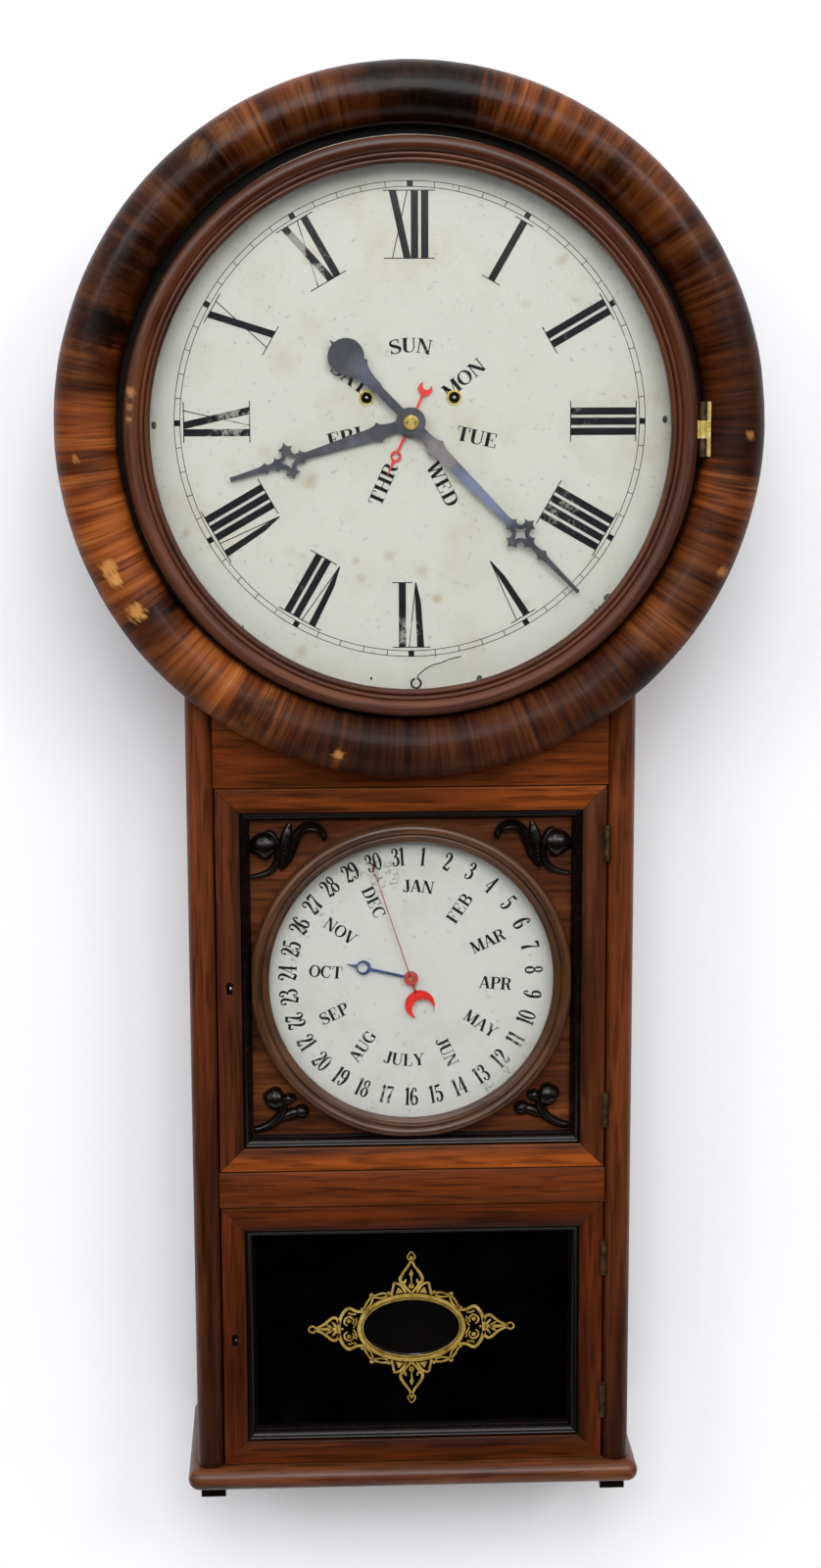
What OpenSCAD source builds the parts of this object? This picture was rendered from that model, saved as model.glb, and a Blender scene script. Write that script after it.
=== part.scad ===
// Wall regulator clock with a round head, a calendar dial in the upper door and a
// black glass tablet in the lower door. Millimetres, +Z up, wall plane at Y = 0,
// front towards -Y, origin at the hole of the hanger plate.

/* [Case] */
// Width of the trunk over both side boards
case_w = 317; // [305:1:335]
// Depth from the wall to the rounded front edges of the side boards
case_d = 125; // [120:1:145]
// Thickness of a side board
side_t = 19; // [16:1:22]
// Thickness of the back board
back_t = 12; // [8:1:16]
// Thickness of the case top
top_t = 12; // [8:1:16]
// Drop from the hanger hole to the dial centre
dial_drop = 150; // [144:1:152]
// Height of the header that shows between the head ring and the calendar door
header_show = 9.5; // [4:0.5:30]
// Height of the rail between the doors
rail_h = 26; // [20:1:40]
// Height of the opening for the pendulum door
lower_h = 198; // [180:1:240]
// Thickness of the header and the rail
rail_t = 12; // [8:1:14]
// Distance of the doors behind the rounded front edges
door_set = 5; // [4:0.5:7]

/* [Base] */
// Thickness of the base board
base_t = 16; // [12:1:20]
// Overhang of the base board at the front and the sides
base_over = 7; // [4:0.5:10]
// Width of a foot
foot_w = 18; // [12:1:24]
// Height of a foot
foot_h = 9; // [6:0.5:14]
// Length of a foot from front to back
foot_l = 96; // [60:1:105]

/* [Head] */
// Width of the head ring
ring_w = 42; // [36:1:48]
// Gap between the head ring and the bezel
ring_gap = 5.5; // [5:0.5:9]
// Height of the head ring in front of the dial board
ring_h = 30; // [26:1:36]
// Drop of the head ring below the dial centre
ring_low = 2.5; // [0:0.5:4]
// Overhang of the head ring outside the dial board
ring_over = 7.5; // [4:0.5:20]
// Radius of the opening in the dial board
board_open_r = 120; // [112:1:150]

/* [Time dial] */
// Radius of the dial that shows inside the bezel
dial_open_r = 177.2; // [165:0.1:190]
// Thickness of the zinc dials
dial_t = 1; // [0.6:0.1:1.4]
// Sideways distance of each winding arbor from the centre
wind_x = 30; // [29:0.5:33]
// Height of the winding arbors above the centre
wind_z = 16.5; // [15:0.5:19]
// Radius of the hole in a winding grommet
grommet_hole_r = 3.9; // [3.6:0.1:4.2]
// Radius of a winding grommet's flange
grommet_r = 5.3; // [5:0.1:6.5]

/* [Bezel] */
// Width of the turned bezel
bezel_w = 17.8; // [16:0.2:20]
// Height of the bezel from back to front
bezel_h = 23; // [21:0.5:26]
// Drop of the bezel below the head ring
bezel_sag = 2.5; // [0:0.5:2.5]
// Thickness of the glass panes
glass_t = 2; // [1.5:0.5:3]
// Length of the bezel hinge
bezel_hinge_l = 37; // [30:1:50]

/* [Doors] */
// Thickness of the door frames
door_t = 19; // [17:1:21]
// Gap around each door
door_gap = 1; // [0.8:0.1:1.5]
// Width of the flat frame members
stile_w = 17; // [15:0.5:20]
// Width of the black bead inside a frame
bead_w = 7; // [5:0.5:9]
// Height of the black bead in front of the panel or glass
bead_h = 11; // [8:0.5:11.5]
// Thickness of the calendar door's panel
panel_t = 5.5; // [4:0.5:6]
// Width of the calendar bezel
cal_bezel_w = 11.5; // [10:0.1:14]
// Distance of the calendar bezel from the beads beside it
cal_margin_x = 1; // [0.5:0.1:6]
// Distance of the calendar bezel from the bead below it
cal_margin_z = 0.5; // [0.5:0.1:12]
// Drop of the calendar below the middle of its door
cal_low = 2; // [0:0.5:4]
// Height of the calendar bezel in front of the panel
cal_bezel_h = 12; // [9:0.5:13]
// Rim of the calendar bezel that is trimmed where it meets the beads
cal_rim = 2.3; // [1:0.1:3]
// Length of a door hinge
hinge_l = 25.4; // [20:0.2:38]
// Radius of a hinge barrel
barrel_r = 2.4; // [2.2:0.1:2.8]
// Radius of a hinge pin
pin_r = 1.2; // [1:0.1:1.4]
// Reach of a latch tongue from its arbor
tongue_l = 20; // [16:0.5:21]

/* [Movement] */
// Width of the movement plates
plate_w = 124; // [122:1:132]
// Height of the movement plates below the centre
plate_down = 40; // [36:1:48]
// Thickness of the movement plates
plate_t = 2; // [1.5:0.1:2.5]
// Distance between the movement plates
plate_gap = 38; // [38:0.5:42]
// Distance from the front plate to the dial
motion_space = 21; // [21:0.5:24]
// Length of the pendulum from its flexing point to the centre of the bob
pendulum_l = 556; // [500:1:570]
// Radius of the bob
bob_r = 38; // [30:0.5:42]
// Thickness of the bob
bob_t = 14; // [10:0.5:18]
// Outer radius of the coiled gong
gong_r = 44; // [36:0.5:46]

/* [Hands] */
// Length of the minute hand
minute_l = 164.5; // [150:0.5:168]
// Length of the hour hand
hour_l = 129.5; // [110:0.5:140]
// Length of the day hand
day_l = 39; // [34:0.5:50]
// Length of the date hand
date_l = 88.5; // [70:0.5:92]
// Length of the month hand
month_l = 47; // [38:0.5:60]

/* [Fits] */
// Radial clearance of a running shaft
run_gap = 0.05; // [0.02:0.01:0.1]
// Radial clearance of a fixed pin or a hand on its pipe
press_gap = 0.02; // [0.01:0.01:0.04]
// Clearance between pieces that lie beside each other
side_gap = 0.3; // [0.2:0.05:0.5]

/* [Hidden] */
$fn = 64;

// Colours of the finishes
rosewood = "#5a2a17";
walnut = "#6b3416";
ebony = "#1c1613";
pine = "#a9794b";
brass = "#b8964a";
steel = "#8d9196";
blued = "#1d2130";
red_paint = "#a5402c";
dial_paint = "#d9d8cc";
glass_tint = "#b9c6c4";

// Front planes, measured forward from the wall
front_f = case_d - door_set;
dial_f = case_d;
dial_face = dial_f + dial_t;
door_back = front_f - door_t;
inner_x = case_w / 2 - side_t;

// Radii of the head
bezel_in_r = dial_open_r;
bezel_r = bezel_in_r + bezel_w;
ring_in_r = bezel_r + ring_gap;
ring_r = ring_in_r + ring_w;
board_r = ring_r - ring_over;
dial_margin = 3;
dial_r = bezel_r - dial_margin;

// Calendar door, sized by the trunk
frame_x = inner_x - door_gap;
sight_x = frame_x - stile_w - bead_w;
cal_bezel_r = sight_x - cal_margin_x;
cal_open_r = cal_bezel_r - cal_bezel_w;
upper_h = 2 * (cal_bezel_r + cal_low + cal_margin_z + bead_w + stile_w + door_gap);

// Heights, measured from the dial centre
upper_top = -(ring_low + ring_r + header_show);
upper_bottom = upper_top - upper_h;
lower_top = upper_bottom - rail_h;
lower_bottom = lower_top - lower_h;
base_bottom = lower_bottom - base_t;
upper_mid = (upper_top + upper_bottom) / 2;
cal_z = upper_mid - cal_low;
tablet_z = (lower_top + lower_bottom) / 2;
eps = 0.5;

// Head
bezel_z = -ring_low - bezel_sag;
bezel_f = dial_face + 1.5;
bezel_glass_f = bezel_f + 11.5;
bezel_glass_r = bezel_in_r + 5;
screw_r = 1.1;
screw_head_r = 2.2;
screw_head_h = 0.9;
screw_edge = 9;
screw_circle_r = dial_r - screw_edge;
screw_angles = [45, 135, 225, 315];
header_lap = 69.5;
header_top = header_lap - ring_low - board_r;

// Hanger
hanger_w = 50;
hanger_h = 36;
hanger_t = 2.5;
hanger_hole_r = 5;
hanger_pocket_r = 11;
hanger_pocket_d = 9;
hanger_edge = 4;
head_rise = dial_drop + hanger_h / 2 + hanger_edge;

// Hinges: axis positions and leaf sizes
hinge_x = inner_x - door_gap / 2;
hinge_f = front_f + 1.8;
leaf_t = 1.2;
leaf_w = 13;
knuckle_gap = 0.2;
bezel_barrel_r = 2.5;
leaf_off = door_gap / 2;
leaf_let_in = 0.5;
bezel_hinge_x = (bezel_r + ring_in_r) / 2 + 0.3;
bezel_hinge_f = bezel_f + bezel_h - 2;
bezel_leaf_w = bezel_h - 3;
ring_leaf_off = ring_in_r + leaf_let_in - leaf_t - bezel_hinge_x;
bezel_leaf_off = bezel_hinge_x - bezel_r + leaf_let_in;
upper_hinge_z = [upper_top - 42, upper_bottom + 44];
lower_hinge_z = [lower_top - 42, lower_bottom + 46];

// Door construction
rabbet_w = 4;
rabbet_f = door_back + panel_t + side_gap;
latch_x = -(frame_x - stile_w / 2);
latch_arbor_r = 2.5;
tongue_w = 7;
tongue_t = 3;
tongue_f = door_back - side_gap - tongue_t;
tablet_glass_f = rabbet_f - glass_t;
cal_lip_w = 2.4;
cal_back_r = cal_open_r + cal_lip_w;
cal_glass_r = cal_back_r - side_gap;
cal_glass_f = rabbet_f + 2;

// Movement planes
plate_front = dial_f - motion_space;
front_in = plate_front - plate_t;
back_in = front_in - plate_gap;
plate_back = back_in - plate_t;
wheel_t = 1.5;
spoke_w = 2.4;
strike_wheel_f = back_in + 2.5;
time_wheel_f = front_in - 2 - wheel_t;
drum_h = 10.5;
drum_r = 24;
drum_gap = 0.5;
centre_wheel_f = time_wheel_f - drum_h - drum_gap - wheel_t;
third_wheel_f = centre_wheel_f - 5;
escape_wheel_f = third_wheel_f - 6.5;

// Arbors
arbor_r = 1.5;
centre_r = 2;
cannon_r = 4;
hour_pipe_r = 6;
day_pipe_r = 7.6;
wind_arbor_r = 2.5;
wind_square = 4.4;

// Tooth counts of the going train
great_n = 72;
centre_pinion_n = 9;
centre_n = 64;
third_pinion_n = 8;
third_n = 60;
escape_pinion_n = 8;
escape_n = 40;
wind_dist = sqrt(wind_x * wind_x + wind_z * wind_z);
wind_angle = atan2(wind_z, wind_x);
great_m = 2 * wind_dist / (great_n + centre_pinion_n);
great_tip_r = great_m * (great_n / 2 + 0.9);
third_gap = 0.85;
third_z = wind_z + sqrt(pow(great_tip_r + arbor_r + third_gap, 2) - wind_x * wind_x);
centre_m = 2 * third_z / (centre_n + third_pinion_n);
third_m = 0.6;
escape_z = third_z + third_m * (third_n + escape_pinion_n) / 2;
escape_r = 17;
pallet_gap = 1.7;
pallet_t = 1.6;
pallet_rise = 4.5;
verge_z = escape_z + escape_r + pallet_gap + pallet_t + pallet_rise;
plate_over = 11.3;
plate_up = verge_z + plate_over;

// Motion work from the minute hand to the hour hand and to the daily cam
cannon_n = 12;
minute_n = 36;
minute_pinion_n = 10;
hour_n = 40;
hub_n = 20;
cam_n = 40;
cannon_m = 0.8;
motion_dist = cannon_m * (cannon_n + minute_n) / 2;
hour_m = 2 * motion_dist / (minute_pinion_n + hour_n);
cam_m = 0.9;
cam_dist = cam_m * (hub_n + cam_n) / 2;
cam_angle = 206;
cam_at = [cam_dist * cos(cam_angle), cam_dist * sin(cam_angle)];
minute_wheel_f = plate_front + 3;
hour_wheel_f = plate_front + 6.5;
hub_f = hour_wheel_f + wheel_t + 0.3;
cam_wheel_f = hub_f + 0.2;
star_f = plate_front + 12;
day_hand_f = dial_face + 1;
hour_hand_f = dial_face + 3;
minute_hand_f = dial_face + 5.5;
hand_t = 0.9;
nut_h = 3.1;
nut_r = 5.25;
hub_r = 10;
arm_w = 2.4;
cusp_w = 5.2;
cusp_y = 9.2;
lobe_y = 12.8;

// Pendulum and strike
pendulum_f = plate_back - 14;
rod_r = 2.5;
bob_z = verge_z - pendulum_l;
crutch_z = 20;
crutch_f = plate_back - 9;
hammer_at = [-36, -26];
hammer_l = 60;
hammer_r = 6;
hammer_gap = 1.5;
gong_f = back_t + 6;
gong_wire = 3;
gong_pitch = 6.5;
gong_at = [hammer_at[0] + hammer_r + hammer_gap + gong_r, hammer_at[1] - hammer_l];
seat_in_x = 46;

// Calendar work
cal_plate_f = back_in + 4;
cal_plate_h = 40;
cal_dial_f = door_back - dial_t;
cal_dial_r = cal_open_r + 11;
date_arbor_r = 2.5;
date_end_r = 1.4;
month_pipe_r = 4;
cal_hub_r = 5.05;
date_wheel_f = cal_plate_f + plate_t + 6;
month_wheel_f = date_wheel_f + 6;
month_hand_f = cal_dial_f + dial_t + 1.5;
date_hand_f = month_hand_f + 1.9;
date_n = 31;
date_wheel_r = 40;
month_wheel_r = 28;
rod_x = -(plate_w / 2 + 8);
post_x = 15 - rod_x;
post_z = 13;
link_r = 1.5;
link_f = date_wheel_f + wheel_t / 2;
link_top = 2;
link_push_z = cal_z + 27;
ear_t = 4;
ear_z = [cal_z + 12, cal_z - 14];

// Places each sub-part relative to the dial centre
module at_dial() {
    translate([0, 0, -dial_drop]) children();
}

// Box between two sideways, two forward and two height limits
module slab(x0, x1, f0, f1, z0, z1) {
    translate([x0, -f1, z0]) cube([x1 - x0, f1 - f0, z1 - z0]);
}

// Round bar along the depth of the clock, centred at a point of the front view
module disc(f0, f1, r, at = [0, 0]) {
    translate([at[0], -f0, at[1]]) rotate([90, 0, 0]) cylinder(h = f1 - f0, r = r);
}

// Flat shape of the front view, between two forward limits
module flat(f0, f1, at = [0, 0]) {
    translate([at[0], -f0, at[1]]) rotate([90, 0, 0]) linear_extrude(f1 - f0) children();
}

// Profile turned about an axis along the depth, its base lying at a forward plane
module turned(f0, at = [0, 0]) {
    translate([at[0], -f0, at[1]]) rotate([90, 0, 0]) rotate_extrude() children();
}

// Upright round bar between two heights
module upright(x, f, z0, z1, r) {
    translate([x, -f, z0]) cylinder(h = z1 - z0, r = r);
}

// Round bar across the clock between two sideways limits
module crossbar(x0, x1, f, z, r) {
    translate([x0, -f, z]) rotate([0, 90, 0]) cylinder(h = x1 - x0, r = r);
}

// Toothed outline with straight flanks; a tooth points in the direction of phase
module gear2d(n, m, phase = 0) {
    root = m * (n / 2 - 1.25);
    tip = m * (n / 2 + 0.9);
    step = 360 / n;
    polygon([for (i = [0:n - 1]) for (p = [[root, -0.24], [tip, -0.1], [tip, 0.1], [root, 0.24]])
        let (a = phase + (i + p[1]) * step) [p[0] * cos(a), p[0] * sin(a)]]);
}

// Outline with raked pointed teeth
module ratchet2d(n, r, depth) {
    step = 360 / n;
    polygon([for (i = [0:n - 1]) for (p = [[r - depth, 0.1], [r, 0], [r, 0.08]])
        let (a = 90 + (i + p[1]) * step) [p[0] * cos(a), p[0] * sin(a)]]);
}

// Phase of the mate whose gap faces a tooth that points in the direction of phase
function mate(phase, n) = phase + 180 + 180 / n;

// Wheel with spokes left between round openings
module spoked2d(hub, rim, count) {
    mid = (hub + rim) / 2;
    hole_r = min((rim - hub) / 2, mid * sin(180 / count) - spoke_w / 2);
    difference() {
        children();
        for (i = [0:count - 1]) rotate(i * 360 / count + 180 / count) translate([0, mid])
            circle(r = hole_r);
    }
}

// Rectangle frame of the front view
module frame2d(x, z0, z1, w) {
    difference() {
        translate([-x, z0]) square([2 * x, z1 - z0]);
        translate([-x + w, z0 + w]) square([2 * (x - w), z1 - z0 - 2 * w]);
    }
}

// Leaf and knuckles of a butt hinge on an upright axis; side +1 lies right of the axis
module hinge_leaf(x, f, z, l, r, w, off, side, bore, outer) {
    third = l / 3;
    low = z - l / 2;
    parts = outer ? [[0, third], [2 * third, l]] : [[third + knuckle_gap, 2 * third - knuckle_gap]];
    translate([x, 0, low]) mirror([side > 0 ? 0 : 1, 0, 0]) difference() {
        union() {
            slab(off, off + leaf_t, f - w, f - r - side_gap, 0, l);
            for (p = parts) {
                upright(0, f, p[0], p[1], r);
                slab(off, off + leaf_t, f - r - side_gap - eps, f, p[0], p[1]);
                slab(0, off + leaf_t, f - leaf_t, f, p[0], p[1]);
            }
        }
        upright(0, f, -eps, l + eps, bore);
    }
}

// Room that a hinge takes from the wood beside it
module hinge_room(x, f, z, l, r, w, off, side) {
    translate([x, 0, z - l / 2]) mirror([side > 0 ? 0 : 1, 0, 0]) {
        upright(0, f, -side_gap, l + side_gap, r + side_gap);
        slab(0, off + leaf_t, f - w, f, 0, l);
    }
}

// Case boards

module back_board() {
    color(pine) at_dial() difference() {
        slab(-inner_x, inner_x, 0, back_t, lower_bottom, head_rise);
        slab(-hanger_w / 2, hanger_w / 2, -eps, hanger_t, dial_drop - hanger_h / 2,
            dial_drop + hanger_h / 2);
        disc(-eps, hanger_pocket_d, hanger_pocket_r, [0, dial_drop]);
    }
}

// One side board with its rounded front edge, cut back where the dial board crosses it
module side_board() {
    nose_r = side_t / 2;
    difference() {
        translate([0, 0, lower_bottom]) linear_extrude(head_rise - lower_bottom) {
            translate([inner_x, -case_d + nose_r]) square([side_t, case_d - nose_r]);
            translate([inner_x + nose_r, -case_d + nose_r]) circle(r = nose_r);
        }
        disc(front_f, case_d + eps, board_r + side_gap, [0, -ring_low]);
    }
}

module right_side() {
    color(walnut) at_dial() difference() {
        side_board();
        for (z = concat(upper_hinge_z, lower_hinge_z))
            hinge_room(hinge_x, hinge_f, z, hinge_l, barrel_r, leaf_w, leaf_off, 1);
    }
}

module left_side() {
    color(walnut) at_dial() difference() {
        mirror([1, 0, 0]) side_board();
        for (z = [cal_z, tablet_z]) disc(tongue_f - side_gap, tongue_f + tongue_t + side_gap,
            tongue_l + side_gap, [latch_x, z]);
    }
}

module case_top() {
    color(pine) at_dial() slab(-inner_x, inner_x, back_t, front_f, head_rise - top_t, head_rise);
}

module front_rails() {
    color(walnut) at_dial() {
        slab(-inner_x, inner_x, front_f - rail_t, front_f, upper_top, header_top);
        slab(-inner_x, inner_x, front_f - rail_t, front_f, lower_top, upper_bottom);
    }
}

// Base board with a half-round front edge and half-round ends
module base_board() {
    r = base_t / 2;
    x = case_w / 2 + base_over - r;
    f = case_d + base_over - r;
    z = base_bottom + r;
    color(rosewood) at_dial() {
        slab(-x, x, 0, f, base_bottom, lower_bottom);
        crossbar(-x, x, f, z, r);
        for (s = [-1, 1]) {
            disc(0, f, r, [s * x, z]);
            translate([s * x, -f, z]) sphere(r = r);
        }
    }
}

module base_feet() {
    x1 = inner_x + side_t - 2;
    color(ebony) at_dial() for (s = [0, 1]) mirror([s, 0, 0])
        slab(x1 - foot_w, x1, front_f - 2 - foot_l, front_f - 2, base_bottom - foot_h, base_bottom);
}

// Head and time dial

module dial_board() {
    color(pine) at_dial() difference() {
        disc(front_f, case_d, board_r, [0, -ring_low]);
        disc(front_f - eps, case_d + eps, board_open_r);
        for (a = screw_angles) disc(front_f - eps, case_d + eps, screw_r + press_gap,
            screw_circle_r * [cos(a), sin(a)]);
    }
}

// Half-round ring on straight edges, with a flat for the hinge leaf
module head_ring() {
    half = ring_w / 2;
    edge = ring_h - half;
    color(rosewood) at_dial() difference() {
        turned(case_d, [0, -ring_low]) {
            translate([ring_in_r, 0]) square([ring_w, edge]);
            intersection() {
                translate([ring_in_r + half, edge]) circle(r = half);
                translate([ring_in_r, 0]) square([ring_w, ring_h + eps]);
            }
        }
        hinge_room(bezel_hinge_x, bezel_hinge_f, bezel_z, bezel_hinge_l, bezel_barrel_r,
            bezel_leaf_w, ring_leaf_off, 1);
    }
}

module main_dial() {
    color(dial_paint) at_dial() difference() {
        disc(dial_f, dial_face, dial_r);
        disc(dial_f - eps, dial_face + eps, day_pipe_r + 0.6);
        for (s = [-1, 1]) disc(dial_f - eps, dial_face + eps, grommet_hole_r + 0.5 + run_gap,
            [s * wind_x, wind_z]);
        for (a = screw_angles) disc(dial_f - eps, dial_face + eps, screw_r + press_gap,
            screw_circle_r * [cos(a), sin(a)]);
    }
}

// Round-headed screws that hold the dial to its board
module dial_screws() {
    dome_r = (screw_head_r * screw_head_r / screw_head_h + screw_head_h) / 2;
    color(steel) at_dial() for (a = screw_angles) {
        at = screw_circle_r * [cos(a), sin(a)];
        disc(front_f + 0.2, dial_face, screw_r, at);
        turned(dial_face, at) intersection() {
            translate([0, screw_head_h - dome_r]) circle(r = dome_r);
            square([screw_head_r, screw_head_h]);
        }
    }
}

module winding_grommets() {
    tail = 0.5;
    wall = 0.5;
    lip_h = 0.8;
    edge = 0.4;
    color(brass) at_dial() for (s = [-1, 1]) turned(dial_f - tail, [s * wind_x, wind_z]) {
        translate([grommet_hole_r, 0]) square([wall, tail + dial_t]);
        translate([grommet_hole_r, tail + dial_t]) square([grommet_r - grommet_hole_r - edge, lip_h]);
        translate([grommet_r - edge, tail + dial_t]) square([edge, lip_h - edge]);
        translate([grommet_r - edge, tail + dial_t + lip_h - edge]) intersection() {
            circle(r = edge);
            square(edge);
        }
    }
}

module hanger_plate() {
    color(steel) at_dial() difference() {
        slab(-hanger_w / 2, hanger_w / 2, 0, hanger_t, dial_drop - hanger_h / 2,
            dial_drop + hanger_h / 2);
        disc(-eps, hanger_t + eps, hanger_hole_r, [0, dial_drop]);
        for (x = [-1, 1]) for (z = [-1, 1]) disc(-eps, hanger_t + eps, 2,
            [x * (hanger_w / 2 - 6), dial_drop + z * (hanger_h / 2 - 6)]);
    }
}

// Hinges

// Fixed leaf of one door hinge, on the inner face of the side board
module door_leaf_fixed(z) {
    hinge_leaf(hinge_x, hinge_f, z, hinge_l, barrel_r, leaf_w, leaf_off, 1, pin_r + press_gap, true);
}

// Moving leaf of one door hinge, on the edge of the door
module door_leaf_moving(z) {
    hinge_leaf(hinge_x, hinge_f, z, hinge_l, barrel_r, leaf_w, leaf_off, -1, pin_r + run_gap, false);
}

module fixed_hinge_leaves() {
    color(brass) at_dial() {
        for (z = concat(upper_hinge_z, lower_hinge_z)) door_leaf_fixed(z);
        hinge_leaf(bezel_hinge_x, bezel_hinge_f, bezel_z, bezel_hinge_l, bezel_barrel_r,
            bezel_leaf_w, ring_leaf_off, 1, pin_r + press_gap, true);
    }
}

module hinge_pins() {
    color(steel) at_dial() {
        for (z = concat(upper_hinge_z, lower_hinge_z))
            upright(hinge_x, hinge_f, z - hinge_l / 2, z + hinge_l / 2, pin_r);
        upright(bezel_hinge_x, bezel_hinge_f, bezel_z - bezel_hinge_l / 2,
            bezel_z + bezel_hinge_l / 2, pin_r);
    }
}

module calendar_hinge_leaves() {
    color(brass) at_dial() for (z = upper_hinge_z) door_leaf_moving(z);
}

module pendulum_hinge_leaves() {
    color(brass) at_dial() for (z = lower_hinge_z) door_leaf_moving(z);
}

module bezel_hinge_leaf() {
    color(brass) at_dial() hinge_leaf(bezel_hinge_x, bezel_hinge_f, bezel_z, bezel_hinge_l,
        bezel_barrel_r, bezel_leaf_w, bezel_leaf_off, -1, pin_r + run_gap, false);
}

// Bezel door

// Turned bezel: a broad round, a bead and an inner lip, with a rebate for the glass
module bezel_ring() {
    glass_h = bezel_glass_f - bezel_f;
    lip_h = glass_h + glass_t;
    bead_r = 1.7;
    lip_w = 4.2;
    bead_at = bezel_in_r + lip_w + bead_r;
    broad_w = bezel_r - bead_at - bead_r;
    broad_r = broad_w * 0.62;
    color(rosewood) at_dial() difference() {
        turned(bezel_f, [0, bezel_z]) {
            translate([bezel_glass_r + side_gap, 0])
                square([bezel_r - bezel_glass_r - side_gap, lip_h]);
            translate([bezel_in_r, lip_h]) square([lip_w, bezel_h - lip_h - 5.5]);
            translate([bezel_in_r + lip_w / 2, bezel_h - 5.5]) intersection() {
                circle(r = lip_w / 2);
                translate([-lip_w / 2, 0]) square([lip_w, lip_w / 2]);
            }
            translate([bezel_in_r + lip_w, lip_h]) square([2 * bead_r, bezel_h - lip_h - 4]);
            translate([bead_at, bezel_h - 4]) circle(r = bead_r);
            translate([bezel_r - broad_w, lip_h]) square([broad_w, bezel_h - lip_h - broad_r]);
            intersection() {
                translate([bezel_r - broad_w / 2, bezel_h - broad_r]) circle(r = broad_r);
                translate([bezel_r - broad_w, lip_h]) square([broad_w, bezel_h]);
            }
        }
        hinge_room(bezel_hinge_x, bezel_hinge_f, bezel_z, bezel_hinge_l, bezel_barrel_r,
            bezel_leaf_w, bezel_leaf_off, -1);
    }
}

module bezel_glass() {
    color(glass_tint) at_dial() disc(bezel_glass_f, bezel_glass_f + glass_t, bezel_glass_r,
        [0, bezel_z]);
}

// Calendar door

// Mitred door frame with a rebate at the back, hinge rooms and the latch bore
module door_frame(z0, z1, latch_z, hinge_z) {
    difference() {
        flat(door_back, front_f) frame2d(frame_x, z0, z1, stile_w);
        flat(door_back - eps, rabbet_f) translate([-frame_x + stile_w - rabbet_w, z0 + stile_w
            - rabbet_w]) square([2 * (frame_x - stile_w + rabbet_w), z1 - z0 - 2 * (stile_w - rabbet_w)]);
        for (z = hinge_z) hinge_room(hinge_x, hinge_f, z, hinge_l, barrel_r, leaf_w, leaf_off, -1);
        disc(door_back - eps, front_f + eps, latch_arbor_r + run_gap, [latch_x, latch_z]);
    }
}

// Black bead inside a frame: four rounded strips that cross at the corners as mitres
module door_bead(z0, z1, f0) {
    x = frame_x - stile_w;
    half_z = (z1 - z0) / 2 - stile_w;
    translate([0, 0, (z0 + z1) / 2]) for (s = [-1, 1]) {
        translate([0, 0, s * half_z]) rotate([0, s * 90, 0]) linear_extrude(2 * x, center = true)
            bead2d(f0);
        translate([s * x, 0, 0]) mirror([s > 0 ? 1 : 0, 0, 0])
            linear_extrude(2 * half_z, center = true) bead2d(f0);
    }
}

// Section of the bead: high at the frame, round in the middle and low at the panel
module bead2d(f0) {
    low = bead_h - bead_w;
    translate([0, -f0 - low]) square([bead_w, low]);
    translate([0, -f0 - low]) intersection() {
        circle(r = bead_w);
        translate([0, -bead_w]) square(bead_w);
    }
}

module calendar_door_frame() {
    color(walnut) at_dial() door_frame(upper_bottom + door_gap, upper_top - door_gap, cal_z,
        upper_hinge_z);
}

module calendar_door_bead() {
    color(ebony) at_dial() door_bead(upper_bottom + door_gap, upper_top - door_gap, rabbet_f);
}

module calendar_panel() {
    x = frame_x - stile_w + rabbet_w - side_gap;
    z = upper_h / 2 - door_gap - stile_w + rabbet_w - side_gap;
    color(walnut) at_dial() difference() {
        slab(-x, x, rabbet_f - panel_t, rabbet_f, upper_mid - z, upper_mid + z);
        disc(rabbet_f - panel_t - eps, rabbet_f + eps, cal_back_r, [0, cal_z]);
    }
}

// Turned ring round the calendar opening: a round on straight edges and a lip before the glass
module calendar_bezel() {
    round_w = cal_bezel_r + cal_rim - cal_back_r;
    half = round_w / 2;
    lip_back = cal_glass_f + glass_t - rabbet_f;
    lip_drop = 5;
    trim_gap = 0.3;
    trim = [2 * (sight_x - trim_gap), upper_h - 2 * (door_gap + stile_w + bead_w + trim_gap)];
    color(rosewood) at_dial() intersection() {
        turned(rabbet_f, [0, cal_z]) {
            translate([cal_open_r, lip_back])
                square([cal_lip_w + half, cal_bezel_h - lip_drop - lip_back]);
            translate([cal_back_r, 0]) square([round_w, cal_bezel_h - half]);
            intersection() {
                translate([cal_back_r + half, cal_bezel_h - half]) circle(r = half);
                translate([cal_back_r, 0]) square([round_w, cal_bezel_h]);
            }
        }
        flat(rabbet_f - eps, rabbet_f + cal_bezel_h + eps, [0, upper_mid]) square(trim, center = true);
    }
}

module calendar_glass() {
    color(glass_tint) at_dial() disc(cal_glass_f, cal_glass_f + glass_t, cal_glass_r, [0, cal_z]);
}

// Raised stroke that follows an arc of the front view
module carved_arc(at, r, a0, a1, w) {
    translate([at[0], -rabbet_f, at[1]]) rotate([90, 0, 0]) rotate([0, 0, a0])
        rotate_extrude(angle = a1 - a0) translate([r, 0]) intersection() {
            circle(r = w / 2);
            translate([-w / 2, 0]) square([w, w / 2]);
        }
}

// Round bud that stands half out of the panel
module carved_bud(at, r) {
    turned(rabbet_f, at) intersection() {
        circle(r = r);
        square(r);
    }
}

// Leaf of two crossing round edges
module carved_leaf(at, l, w, h, lean) {
    r = (l * l / w + w) / 4;
    flat(rabbet_f, rabbet_f + h, at) rotate(lean) intersection() {
        translate([r - w / 2, 0]) circle(r = r);
        translate([w / 2 - r, 0]) circle(r = r);
    }
}

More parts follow.
